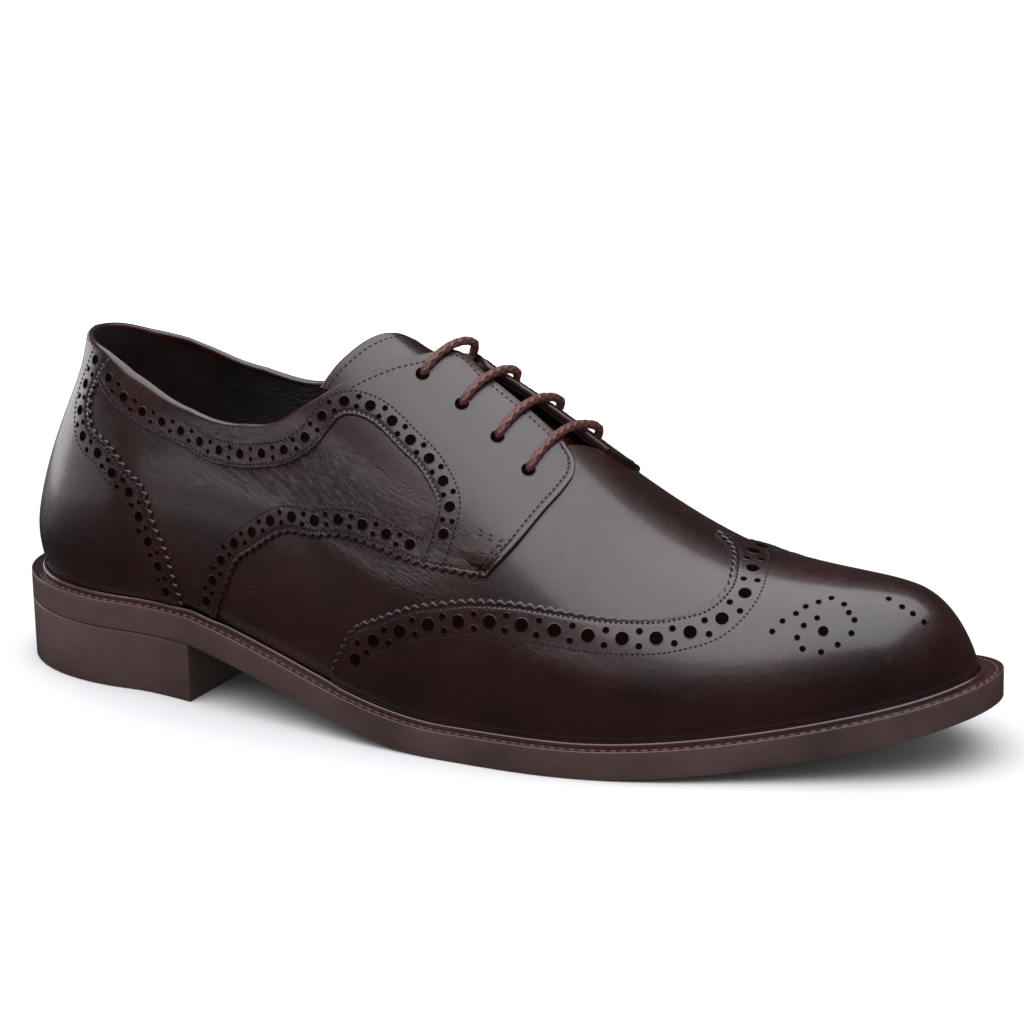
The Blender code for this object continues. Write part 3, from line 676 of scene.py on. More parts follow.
# Paths on the lateral side, as (station in mm, level)
wingEdge = [
    (119.5, 0.030), (121, 0.065), (124, 0.110), (129, 0.170), (136, 0.210), (146, 0.260), (159, 0.300),
    (176, 0.340), (193, 0.380), (207, 0.425), (221, 0.500), (228.5, 0.575), (231, 0.660), (229.5, 0.800),
    (226, 0.920), (219, 1.000),
]
quarterEdge = [
    (78, 0.03), (80, 0.07), (83, 0.11), (87, 0.16), (94, 0.20), (104, 0.25), (115, 0.28), (122, 0.31),
    (133, 0.34), (143, 0.35), (154, 0.36), (169, 0.38),
]
frontEdge = [(169, 0.38), (176, 0.49), (181, 0.62), (184, 0.74), (184.5, 0.80), (183, 0.86), (179, 0.90)]
bandEdge = [
    (30, 0.50), (35, 0.47), (49, 0.40), (62, 0.372), (79, 0.342), (95, 0.348), (105, 0.375), (113, 0.43),
    (121, 0.53), (128, 0.56), (138, 0.555), (147, 0.53), (151.5, 0.485), (151, 0.43), (149, 0.365),
]
counterEdge = [
    (65, 0.02), (65, 0.04), (64, 0.06), (61, 0.13), (57, 0.18), (54, 0.24), (47, 0.29), (41, 0.34),
    (33, 0.38), (30, 0.44), (32, 0.50), (36, 0.575),
]
quarterUnder = [
    (60, 0.03), (60, 0.06), (57, 0.13), (53, 0.18), (50, 0.24), (43, 0.29), (37, 0.34), (29, 0.38),
    (26, 0.44), (28, 0.50), (32, 0.58),
]


def upperShell():
    # The base upper: its outer face, which shows as the vamp, and the lining inside. Behind the throat each
    # side's levels are top * share, and over the vamp they run from edge to edge.
    settings = {"rows": 46, "vampRows": 26}
    half = halfStations(upperTip)
    half[np.abs(half - throatFront).argmin()] = throatFront
    grids = []
    for side in (1, 2):
        level = np.linspace(0, 1, settings["rows"])[:, None] * openLevel(half, side)
        station = np.broadcast_to(half, level.shape)
        if side == 2:
            level = np.where(station > 0, 2 - level, level)
            station = np.minimum(station + forward(station), upperTip)
        grids.append((station, level, 1 if side == 1 else -1))
    vamp = half[half > throatFront - 1e-9]
    across = np.linspace(0, 1, settings["vampRows"])[:, None]
    edgeLevel = topEdge[-1, 1]
    level = edgeLevel + 2 * (1 - edgeLevel) * across + 0 * vamp
    grids.append((np.minimum(vamp + forward(vamp) * across, upperTip), level, 1))
    faces = []
    start = 0
    for station, level, turn in grids:
        faces.append(gridFaces(*level.shape, start=start)[:, ::turn])
        start += level.size
    faces = np.concatenate(faces)
    sheet = np.concatenate([np.stack(grid[:2]).reshape(2, -1) for grid in grids], axis=1)
    outer = lifted(*sheet, 0 * sheet[0])
    inner = lifted(*sheet, 0 * sheet[0] - last["wall"])
    inwards = (faceNormals(outer, faces) * (outer - inner)[faces[:, 0]]).sum(1) < 0
    faces[inwards] = faces[inwards, ::-1]
    both = np.concatenate([faces, faces[:, ::-1] + len(outer)])
    which = np.repeat([0, 1], len(faces))
    made = piece("upperShell", np.concatenate([outer, inner]), both, ["leather", "lining"],
                 which, sheet=np.tile(sheet, 2))
    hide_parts("upper")


def wingPanel():
    # The wing: from its foot beside the welt up to the pinked edge, and over the ridge to the other side
    settings = {"columns": 640, "rows": 56, "foot": 3.4 * mm, "behind": 2 * mm}
    edge = smooth(wingEdge, 900)
    end = frontEnd(settings["foot"])
    first = edge[0][0] - settings["behind"]
    sweep = first + (end - first) * np.sin(np.linspace(0, pi / 2, 900))
    foot = levelAt(sweep, settings["foot"])
    foot[-1] = 1
    half = settings["columns"] // 2
    low = even((sweep, foot), half)
    high = even(edge, half)
    low = joined(low, (low[0][-2::-1], 2 - low[1][-2::-1]))
    high = joined(high, (high[0][-2::-1], 2 - high[1][-2::-1]))
    made = panelPiece("wing", centred(low), centred(high), settings["rows"], 0, layers["wing"],
                      highTeeth=np.ones(len(low[0])))
    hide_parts("wing")


def alongKnots(path, rows):
    # Distance along the path of the points nearest to rows of (station in mm, level)
    points = onSide(*path)
    length = pathLength(path)
    return [length[np.linalg.norm(points - onSide(s * mm, v), axis=1).argmin()] for s, v in rows]


def matched(low, high, pairs):
    # The high path with its points moved along it to answer to those of the low path, by pairs of places
    lowAt = alongKnots(low, [pair[0] for pair in pairs])
    highAt = alongKnots(high, [pair[1] for pair in pairs])
    lowAt[0], lowAt[-1] = 0, pathLength(low)[-1]
    highAt[0], highAt[-1] = 0, pathLength(high)[-1]
    at = np.clip(hermite(np.column_stack([lowAt, highAt]), pathLength(low))[:, 0], 0, highAt[-1])
    at = np.maximum.accumulate(at)
    length = pathLength(high)
    return np.interp(at, length, high[0]), np.interp(at, length, high[1])


def collarPath(startMm, endMm):
    # The lateral edge of the opening between two stations
    station = np.linspace(startMm, endMm, 400) * mm
    return station, openLevel(station, 1)


def quarterPaths():
    # The quarter's two edges: foot, pinked edge and front below, counter and topline above
    foot = np.linspace(60, 78, 60) * mm
    low = joined((foot, 0 * foot + 0.03), smooth(quarterEdge, 500), smooth(frontEdge, 250))
    low = even(low, 560)
    high = joined(smooth(quarterUnder, 300), collarPath(33, 179))
    pairs = [
        # a place on the low path and the one that answers to it on the high path
        ((60, 0.03), (60, 0.03)), ((78, 0.03), (57, 0.13)), ((87, 0.16), (37, 0.34)),
        ((104, 0.25), (33, 0.58)), ((122, 0.31), (75, 0.44)), ((143, 0.35), (101, 0.44)),
        ((169, 0.38), (128, 0.68)), ((181, 0.62), (150, 0.945)), ((184, 0.80), (170, 0.91)),
        ((179, 0.90), (179, 0.90)),
    ]
    return low, matched(low, high, pairs)


def creasePress(station, level):
    # The creases that walking made in the quarter, each listed: a trough and a lower ridge beside it,
    # depth * (0.6 exp(-((across - 1.7 wide) / wide)^2) - exp(-(across / wide)^2)) * exp(-(along / long)^4)
    creases = [
        # station level turn long depth wide, in mm and degrees
        (84, 0.335, -20, 5, 0.10, 0.45), (91, 0.345, -21, 6, 0.14, 0.50), (97, 0.325, -20, 5, 0.13, 0.50),
        (102, 0.360, -19, 6, 0.15, 0.50), (107, 0.335, -19, 6, 0.14, 0.50), (111, 0.385, -18, 7, 0.16, 0.55),
        (115, 0.355, -16, 6, 0.15, 0.50), (119, 0.405, -15, 6, 0.15, 0.55), (124, 0.375, -13, 6, 0.15, 0.50),
        (129, 0.420, -12, 6, 0.14, 0.50), (133, 0.392, -10, 6, 0.14, 0.50), (138, 0.430, -9, 5, 0.12, 0.50),
        (142, 0.405, -8, 5, 0.12, 0.45), (100, 0.385, -21, 5, 0.12, 0.40), (106, 0.405, -20, 5, 0.11, 0.40),
        (88, 0.310, -20, 5, 0.10, 0.40), (76, 0.300, -21, 5, 0.08, 0.40), (70, 0.340, -21, 4, 0.08, 0.40),
        (112, 0.340, -18, 5, 0.12, 0.40), (121, 0.350, -15, 5, 0.12, 0.40), (127, 0.395, -13, 5, 0.12, 0.40),
        (136, 0.410, -10, 5, 0.10, 0.40), (95, 0.365, -21, 5, 0.12, 0.40), (117, 0.425, -16, 5, 0.12, 0.40),
    ]
    s = station / mm
    w = np.where(level > 1, 2 - level, level) * 130
    press = 0 * s
    for place, up, turn, long, depth, wide in creases:
        ahead = cos(radians(turn)), sin(radians(turn))
        along = (s - place) * ahead[0] + (w - up * 130) * ahead[1]
        across = (w - up * 130) * ahead[0] - (s - place) * ahead[1]
        shape = 0.6 * np.exp(-((across - 1.7 * wide) / wide)**2) - np.exp(-(across / wide)**2)
        press = press + depth * shape * np.exp(-(along / long)**4)
    return press * mm


def quarterPanels():
    # Both quarters, pinked between stations 77 and 168 mm, with the creases pressed in
    low, high = quarterPaths()
    s = low[0] / mm
    amount = np.clip((s - 77) / 3, 0, 1) * np.clip((168 - s) / 2, 0, 1)
    for side, name in ((1, "lateral"), (2, "medial")):
        made = panelPiece("quarterPanel." + name, sided(low, side), sided(high, side), panelRows["quarter"],
                          0, layers["quarter"], lowTeeth=amount, press=creasePress)
        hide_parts("quarter_" + name)


def facingPaths():
    # The facing's two edges: the band's edge below, topline, front and foot above
    low = even(smooth(bandEdge, 700), 520)
    front = smooth(frontEdge, 250)
    bottom = smooth([(169, 0.388), (160, 0.378), (149, 0.364)], 60)
    high = joined(collarPath(31, 179), (front[0][-2::-1], front[1][-2::-1]), (bottom[0][1:], bottom[1][1:]))
    pairs = [
        # as in quarterPaths
        ((30, 0.50), (31, 0.58)), ((49, 0.40), (49, 0.51)), ((79, 0.342), (78, 0.43)),
        ((95, 0.348), (92, 0.42)), ((113, 0.43), (111, 0.51)), ((121, 0.53), (123, 0.66)),
        ((126, 0.555), (140, 0.88)), ((138, 0.555), (158, 0.925)), ((147, 0.53), (179, 0.90)),
        ((151.5, 0.485), (183.5, 0.70)), ((151, 0.43), (174, 0.45)), ((149.5, 0.38), (169, 0.38)),
        ((149, 0.365), (149, 0.355)),
    ]
    return low, matched(low, high, pairs)


def facingPanels():
    # Both facings. Their high edge stays flat as far as the collar's rim covers it.
    low, high = facingPaths()
    lift = layers["quarter"]
    tuck = 0.1 * mm  # how far it reaches into the quarter
    onRim = np.cumsum(high[0] > 178.8 * mm) == 0

    def skived(station, level):
        # The facing's foot thins out into the quarter
        v = np.where(level > 1, 2 - level, level)
        foot = np.clip((0.425 - v) / 0.030, 0, 1) * (np.abs(station) > 143 * mm)
        return -(layers["facing"] - lift + 0.03 * mm) * (3 - 2 * foot) * foot**2

    for side, name in ((1, "lateral"), (2, "medial")):
        panelPiece("facing." + name, sided(low, side), sided(high, side), panelRows["facing"],
                   lift - tuck, layers["facing"] - lift + tuck,
                   lowTeeth=0.2 * np.ones(len(low[0])), press=skived, highRoll=np.where(onRim, 0.0, 1.0))


def toTopline(station, level):
    # Moves the counter's upper levels so that its top follows the opening's edge on both sides
    end = 0.575
    top = np.where(station < 0, openLevel(station, 2), openLevel(station, 1)) + 0.003
    return np.minimum(level + (top - end) * np.clip(level / end, 0, 1)**6, top)


def counterPanel():
    # The counter: round the heel from one side to the other, pinked at both edges
    edge = even(smooth(counterEdge, 600), 300)
    made = panelPiece("counterPanel", edge, (-edge[0], edge[1]), panelRows["counter"], 0, layers["counter"],
                      lowTeeth=np.ones(300), highTeeth=np.ones(300), adjust=toTopline)
    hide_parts("counter")


upperShell()
wingPanel()
quarterPanels()
facingPanels()
counterPanel()
print("panels ready")


def collarRim():
    # The rolled edge round the opening: edge + normal * (middle + half * cos a) + upward * height * sin a
    heights = np.array([
        # station height, in mm
        (0, 1.3), (28, 1.5), (42, 2.3), (62, 1.8), (85, 1.2), (110, 0.9), (125, 0.6),
    ])
    lateral = even(collarPath(0, 179), 420)
    behind = -np.linspace(46, 0.3, 90) * mm
    front = sided(collarPath(46, 179), 2)
    station, level = joined((front[0][::-1], front[1][::-1]), (behind, openLevel(behind, 2)), lateral)
    base = onSide(station, level)
    keep = np.append(True, np.linalg.norm(np.diff(base, axis=0), axis=1) > 1e-6)
    base = base[keep]
    normal = normalAt(station[keep], level[keep])
    ahead = np.gradient(base, axis=0)
    ahead = ahead / np.linalg.norm(ahead, axis=1, keepdims=True)
    upward = np.cross(normal, ahead)
    high = np.interp(np.abs(station[keep]), heights[:, 0] * mm, heights[:, 1] * mm)
    angle = np.linspace(-0.12, pi + 0.1, 18)[:, None, None]
    middle = (layers["facing"] - last["wall"]) / 2
    half = (layers["facing"] + last["wall"]) / 2
    points = base + normal * (middle + half * np.cos(angle)) + upward * high[:, None] * np.sin(angle)
    outward = normal * np.cos(angle) + upward * np.sin(angle)
    piece("collarRim", points, gridFaces(*points.shape[:2]), ["leather"], outward=outward)


collarRim()


# Sole, heel, welt and insole
def plateFaces(count, top):
    # Strips across a ring of count points, from one half to the other, with a triangle at each end
    half = count // 2
    i = np.arange(1, half - 1)
    strips = np.stack([top + i, top + i + 1, top + count - i - 1, top + count - i], -1)
    middle = top + half
    ends = [(top, top + 1, top + count - 1, top), (middle - 1, middle, middle + 1, middle - 1)]
    return np.concatenate([strips, ends])


def stacked(name, rings, looksHere, closed=True):
    # A band of faces through rings of equally many points, closed by a plate below and above
    count = len(rings[0])
    points = np.concatenate(rings)
    faces = [gridFaces(len(rings), count, wrap=True)]
    if closed:
        faces += [plateFaces(count, 0)[:, ::-1], plateFaces(count, (len(rings) - 1) * count)]
    clean = [tuple(dict.fromkeys(face)) for face in np.concatenate(faces).tolist()]
    mesh = bpy.data.meshes.new(name)
    mesh.from_pydata((points - origin).tolist(), [], clean)
    for look in looksHere:
        mesh.materials.append(looks[look])
    mesh.polygons.foreach_set("use_smooth", np.ones(len(clean), bool))
    mesh.set_sharp_from_angle(angle=radians(38))
    return ridden(name, mesh)


def outsole():
    # The sole's plate: outlines stacked from the rounded lower edge up to the welt
    edge = 0.15 * mm  # the radius of its lower edge
    thick = last["soleThickness"]
    turn = np.linspace(0, pi / 2, 5)
    rings = [outline(edge * (1 - sin(a)), edge * (1 - cos(a))) for a in turn]
    rings += [outline(0, thick * 0.5), outline(0, thick)]
    made = stacked("outsoleEdge", rings, ["sole"])
    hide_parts("outsole")


def heelLoop(edge):
    # The heel's outline: the sole's edge behind heelLength, closed by the breast, a little slanted
    half = len(edge) // 2
    turn = np.linspace(0, pi / 2, 50)
    length = last["heelLength"]
    sides = []
    lateralY = np.interp(length, edge[:half + 1, 0], edge[:half + 1, 1])
    for side, around in ((1, edge[:half + 1]), (-1, np.append(edge[:1], edge[:half - 1:-1], 0))):
        corner = length
        if side < 0:
            corner += (np.interp(length, around[:, 0], around[:, 1]) - lateralY) * np.tan(radians(6))
        x = around[0, 0] + (corner - around[0, 0]) * (1 - np.cos(turn))
        sides.append(np.column_stack([x, np.interp(x, around[:, 0], around[:, 1])]))
    front = np.linspace(sides[0][-1], sides[1][-1], 12)[1:-1]
    return np.concatenate([sides[0], front, sides[1][:0:-1]])


def heel():
    # The heel block: its loop at rising heights, with a small rounded foot
    loop = heelLoop(outline(0, 0))
    centre = loop.mean(0)
    top = soleBottom(loop[:, 0]) - 0.3 * mm
    spokes = loop - centre
    reach = np.linalg.norm(spokes, axis=1, keepdims=True)
    foot = [(0.7, 0.0), (0.2, 0.15), (0.0, 0.6), (0.0, 8.0)]
    foot = [(inset, np.full(len(loop), height * mm)) for inset, height in foot]
    head = [(inset, top - down * mm) for inset, down in ((0.0, 0.5), (0.06, 0.15), (0.15, 0.0))]
    rings = []
    for inset, height in foot + head:
        rings.append(np.column_stack([spokes * (1 - inset * mm / reach) + centre, height]))
    if len(loop) % 2:
        rings = [np.delete(r, len(loop) // 2, 0) for r in rings]
    made = stacked("heelBlock", rings, ["sole"])
    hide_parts("heel")


weltSizes = {"gap": 0.1 * mm, "bead": 1.5 * mm, "beadHeight": 1.2 * mm, "ledge": 0.15 * mm, "lip": 0.30 * mm,
             "stitchInset": 1.9 * mm, "stitchPitch": 2.9 * mm, "stitchLength": 2.2 * mm}


def welt():
    # A bead beside the upper, a groove, the stitched ledge and its raised lip, as rings round the shoe
    gap, bead, high, lip = (weltSizes[name] for name in ("gap", "bead", "beadHeight", "lip"))
    top = last["weltThickness"]
    ledge = last["soleThickness"] + top + weltSizes["ledge"]
    cover = np.array([
        # station width, of the panel's edge that the bead goes round, in mm
        (0, 1.45), (64, 1.45), (67, 0.85), (77, 0.85), (82, 0), (118, 0), (124, 0.9), (300, 0.9),
    ]) * mm
    gap = gap + np.interp(ring(0, 0)[:, 0], cover[:, 0], cover[:, 1])
    inset = weltSizes["stitchInset"]
    rings = [ring(0, gap)]
    rings += [ring(top + high * sin(a), gap + bead * (1 - cos(a)) / 2) for a in np.linspace(0, pi, 11)]
    rings += [ring(top - 0.45 * mm, gap + bead + 0.2 * mm)]
    rings += [outline(inset + 0.7 * mm, ledge - 0.15 * mm), outline(inset, ledge - 0.30 * mm),
              outline(inset - 0.8 * mm, ledge - 0.05 * mm), outline(0.5 * mm, ledge)]
    beadRings = len(rings)
    for a in np.linspace(0, pi / 2, 6):
        rings.append(outline(lip * (1 - sin(a)) + 0.02 * mm, ledge + 0.1 * mm - lip * (1 - cos(a))))
    rings += [outline(0, last["soleThickness"] + 1.6 * mm), outline(0, last["soleThickness"])]
    which = np.repeat([0 if k < beadRings else 1 for k in range(len(rings) - 1)][::-1], len(rings[0]))
    made = stacked("weltLedge", rings[::-1], ["bead", "sole"], closed=False)
    made.data.polygons.foreach_set("material_index", which.astype(np.int32))
    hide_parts("welt")


def insole():
    # A plate inside the upper with a rounded upper edge
    inside = -(last["wall"] + 0.4 * mm)
    thick = 3.0 * mm
    rings = [ring(0, inside), ring(thick - 0.4 * mm, inside), ring(thick, inside - 0.4 * mm)]
    made = stacked("insoleSock", rings, ["lining"])
    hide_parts("insole")


outsole()
heel()
welt()
insole()
print("sole ready")


def tonguePiece():
    # The tongue: an arched sheet under the throat with a rounded edge. It lies deeper in the middle of its
    # top edge: depth + sag * (1 - down)^1.5 * s(level), where s rises smoothly from 0 to 1 on the ridge.
    settings = {"front": 195 * mm, "topLevel": 0.545, "frontLevel": 0.78, "thickness": 1.5 * mm,
                "depth": 3.0 * mm, "sag": 3.0 * mm, "stitches": 1.3 * mm, "edge": 0.7 * mm}
    top = np.array([
        # level station, as a share of the shoe's length
        (0.545, 0.364), (0.603, 0.375), (0.677, 0.390), (0.780, 0.4085), (0.868, 0.4216), (0.93, 0.4300),
        (1.02, 0.4450), (1.15, 0.4650), (1.30, 0.4700), (1.455, 0.4700),
    ])
    down = np.linspace(0, 1, 70)[:, None]**1.3
    across = np.linspace(-1, 1, 161)[None, :]
    reach = (1 - settings["topLevel"]) * (1 - down) + (1 - settings["frontLevel"]) * down
    level = 1 + across * reach
    start = hermite(top, 1 + across[0] * (1 - settings["topLevel"]))[:, 0] * shoeLength
    station = start * (1 - down) + settings["front"] * down
    near = np.clip((1 - np.abs(level - 1) - 0.70) / 0.30, 0, 1)
    depth = settings["depth"] + settings["sag"] * (1 - down)**1.5 * (3 - 2 * near) * near**2
    outer = lifted(station, level, -depth)
    inner = lifted(station, level, -depth - settings["thickness"])
    edge = (outer + inner) / 2
    out = edge[0] - edge[1]
    edge[0] += out / np.linalg.norm(out, axis=1, keepdims=True) * settings["edge"]
    points = np.concatenate([inner[::-1], edge[:1], outer])
    normal = np.broadcast_to(normalAt(station, level), outer.shape)
    outward = np.concatenate([-normal[::-1], 0 * normal[:1], normal])
    made = piece("tonguePiece", points, gridFaces(*points.shape[:2]), ["leather"], outward=outward)
    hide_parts("tongue")
    row = (start + settings["stitches"] / 0.85, level[0])
    keep = slice(3, -3)
    return lifted(row[0], row[1], -depth[0])[keep], normalAt(*row)[keep]


tongueSeam = tonguePiece()


# Stitches and holes
def spindles(centres, ahead, normal, size):
    # Short rounded rods: rings of half the width * sqrt(1 - u^4) at u from -1 to 1 along their length
    length, wide, high = size
    rings = 5
    sides = 6
    u = np.linspace(-1, 1, rings)
    swell = np.sqrt(np.maximum(1 - u**4, 0)) + 0.02
    angle = np.arange(sides) * 2 * pi / sides
    side = np.cross(normal, ahead)
    axes = [(ahead, u[:, None] * length / 2), (side, swell[:, None] * np.cos(angle) * wide / 2),
            (normal, swell[:, None] * np.sin(angle) * high)]
    points = centres[:, None, None]
    for axis, reach in axes:
        points = points + axis[:, None, None] * reach[None, :, :, None]
    faces = gridFaces(rings, sides, wrap=True)
    count = rings * sides
    faces = (faces[None] + np.arange(len(centres))[:, None, None] * count).reshape(-1, 4)
    return points.reshape(-1, 3), faces


def seam(points, normal, pitch, length, wide=0.55 * mm, high=0.20 * mm):
    # Stitches at even distances along a line in space
    run = np.append(0, np.cumsum(np.linalg.norm(np.diff(points, axis=0), axis=1)))
    at = np.linspace(0, run[-1], max(int(run[-1] / pitch), 2))
    centres = np.column_stack([np.interp(at, run, points[:, k]) for k in range(3)])
    up = np.column_stack([np.interp(at, run, normal[:, k]) for k in range(3)])
    ahead = np.gradient(centres, axis=0)
    ahead = ahead / np.linalg.norm(ahead, axis=1, keepdims=True)
    return spindles(centres, ahead, up, (length, wide, high))


def stitchRow(path, lift, pitch, length):
    # A row of stitches along a path on a layer. On the quarter it follows the creases.
    row = even(path, 400)
    pressed = creasePress(*row) if lift == layers["quarter"] else 0
    return seam(lifted(*row, 0 * row[0] + lift + pressed), normalAt(*row), pitch, length)


def collect(parts):
    # The points and faces of several parts as one mesh
    points = []
    faces = []
    start = 0
    for found, quads in parts:
        points.append(found)
        faces.append(quads + start)
        start += len(found)
    return np.concatenate(points), np.concatenate(faces)


sewing = {"pitch": 1.75 * mm, "length": 1.25 * mm, "finePitch": 1.45 * mm, "fineLength": 1.05 * mm}
bandWidth = {"wing": 9.6 * mm, "quarter": 7.6 * mm, "facing": 7.0 * mm, "counter": 7.4 * mm}
edgeStitch = 1.5 * mm          # from a pinked edge to its first row
tackLines = [
    # (station in mm, level): the small double row at the facing's foot, and the row down to its corner
    [(165.6, 0.480), (168.6, 0.479), (171.6, 0.478)],
    [(165.6, 0.468), (168.6, 0.467), (171.6, 0.466)],
    [(171.9, 0.480), (169.6, 0.440), (166.3, 0.392)],
]
wingLine = smooth(wingEdge, 900)
quarterLine = smooth(quarterEdge, 500)
facingLine = smooth(bandEdge, 700)
counterLine = smooth(counterEdge, 500)
frontLine = smooth(frontEdge, 250)


def mirrored(path):
    # The same path on the other side of the ridge
    return path[0], 2 - path[1]


def stitchPiece():
    # Every row of stitches on the upper
    parts = []
    pitch, length = sewing["finePitch"], sewing["fineLength"]
    for distance in (edgeStitch, bandWidth["wing"]):
        row = moved(wingLine, -distance)
        keep = (row[1] < 0.995) & (row[1] > 0.05)
        row = row[0][keep], row[1][keep]
        for path in (row, mirrored(row)):
            parts.append(stitchRow(centred(path), layers["wing"], pitch, length))
    for distance in (edgeStitch, bandWidth["quarter"]):
        row = moved(quarterLine, distance)
        keep = row[0] < 167 * mm if distance < 3 * mm else row[0] < 149 * mm
        row = row[0][keep], row[1][keep]
        for side in (1, 2):
            parts.append(stitchRow(sided(row, side), layers["quarter"], pitch, length))
    for distance in (1.2 * mm, bandWidth["facing"]):
        row = moved(facingLine, distance)
        for side in (1, 2):
            parts.append(stitchRow(sided(row, side), layers["facing"], pitch, length))
    for distance in (edgeStitch, bandWidth["counter"]):
        row = moved(counterLine, distance)
        keep = row[1] < 0.57
        row = row[0][keep], row[1][keep]
        for path in (row, (-row[0], row[1])):
            fitted = path[0], toTopline(*path)
            parts.append(stitchRow(fitted, layers["counter"], pitch, length))
    pitch, length = sewing["pitch"], sewing["length"]
    throat = joined(collarPath(121, 179), (frontLine[0][-2::-1], frontLine[1][-2::-1]))
    rows = [moved(even(throat, 400), -2.2 * mm)]
    rows += [smooth(line, 60) for line in tackLines]
    for side in (1, 2):
        for row in rows:
            parts.append(stitchRow(sided(row, side), layers["facing"], pitch, length))
    parts.append(seam(*tongueSeam, pitch, length))
    points, faces = collect(parts)
    piece("stitches", points, faces, ["thread"])


def weltStitches():
    # The row along the welt, which starts and ends beside the heel
    height = last["soleThickness"] + last["weltThickness"] + weltSizes["ledge"] - 0.18 * mm
    line = outline(weltSizes["stitchInset"], height)
    line = line[line[:, 0] > 9 * mm]
    turn = np.argmax(np.linalg.norm(np.diff(line, axis=0), axis=1)) + 1
    line = np.roll(line, -turn, axis=0)
    up = np.tile((0.0, 0.0, 1.0), (len(line), 1))
    points, faces = seam(line, up, weltSizes["stitchPitch"], weltSizes["stitchLength"], 0.85 * mm, 0.35 * mm)
    piece("weltStitches", points, faces, ["weltThread"])


def discs(station, level, radius, lift):
    # Holes as flat discs of painted shade (the leather beneath, seen in the hole's shadow) with a thin raised
    # rim, laid on the face: rings of points round each place
    sides = 18
    angle = np.arange(sides) * 2 * pi / sides
    profile = [(1.12, 0.00), (1.05, 0.06), (0.98, 0.05), (0.94, 0.02), (0.50, 0.02), (0.02, 0.02)]
    alongS, alongV = tangents(station, level)
    first = alongS / np.linalg.norm(alongS, axis=1, keepdims=True)
    second = np.cross(normalAt(station, level), first)
    rings = []
    for share, high in profile:
        offset = first[:, None] * np.cos(angle)[:, None] + second[:, None] * np.sin(angle)[:, None]
        step = onFace(offset * (radius * share)[:, None, None], alongS[:, None], alongV[:, None])
        s = station[:, None] + step[0]
        v = level[:, None] + step[1]
        pressed = np.where(lift[:, None] == layers["quarter"], creasePress(s, v), 0)
        rings.append(lifted(s, v, lift[:, None] + high * mm + pressed))
    points = np.stack(rings, 1)
    faces = gridFaces(len(profile), sides, wrap=True)
    # The two outer bands are the leather's rim, the three inner ones the hole's painted shade
    which = np.repeat([0, 0, 1, 1, 1], sides)
    count = len(profile) * sides
    faces = (faces[None] + np.arange(len(station))[:, None, None] * count).reshape(-1, 4)
    return points.reshape(-1, 3), faces, np.tile(which, len(station))


holeSizes = {"big": 1.62 * mm, "small": 0.82 * mm, "collar": 1.40 * mm,
             "wing": 1.95 * mm, "wingSmall": 0.95 * mm, "eyelet": 2.05 * mm}


def holeRow(path, pitch, start, apart=2.9 * mm, big=holeSizes["big"], small=holeSizes["small"]):
    # Big holes along the path, with a pair of small ones across the path between them
    length = pathLength(path)
    at = np.arange(start, length[-1] - 1 * mm, pitch)
    found = [(np.interp(at, length, path[0]), np.interp(at, length, path[1]), 0 * at + big)]
    between = at[:-1] + pitch / 2
    for side in (-1, 1):
        row = moved(path, side * apart / 2)
        found.append((*(np.interp(between, length, part) for part in row), 0 * between + small))
    return [np.concatenate(values) for values in zip(*found)]


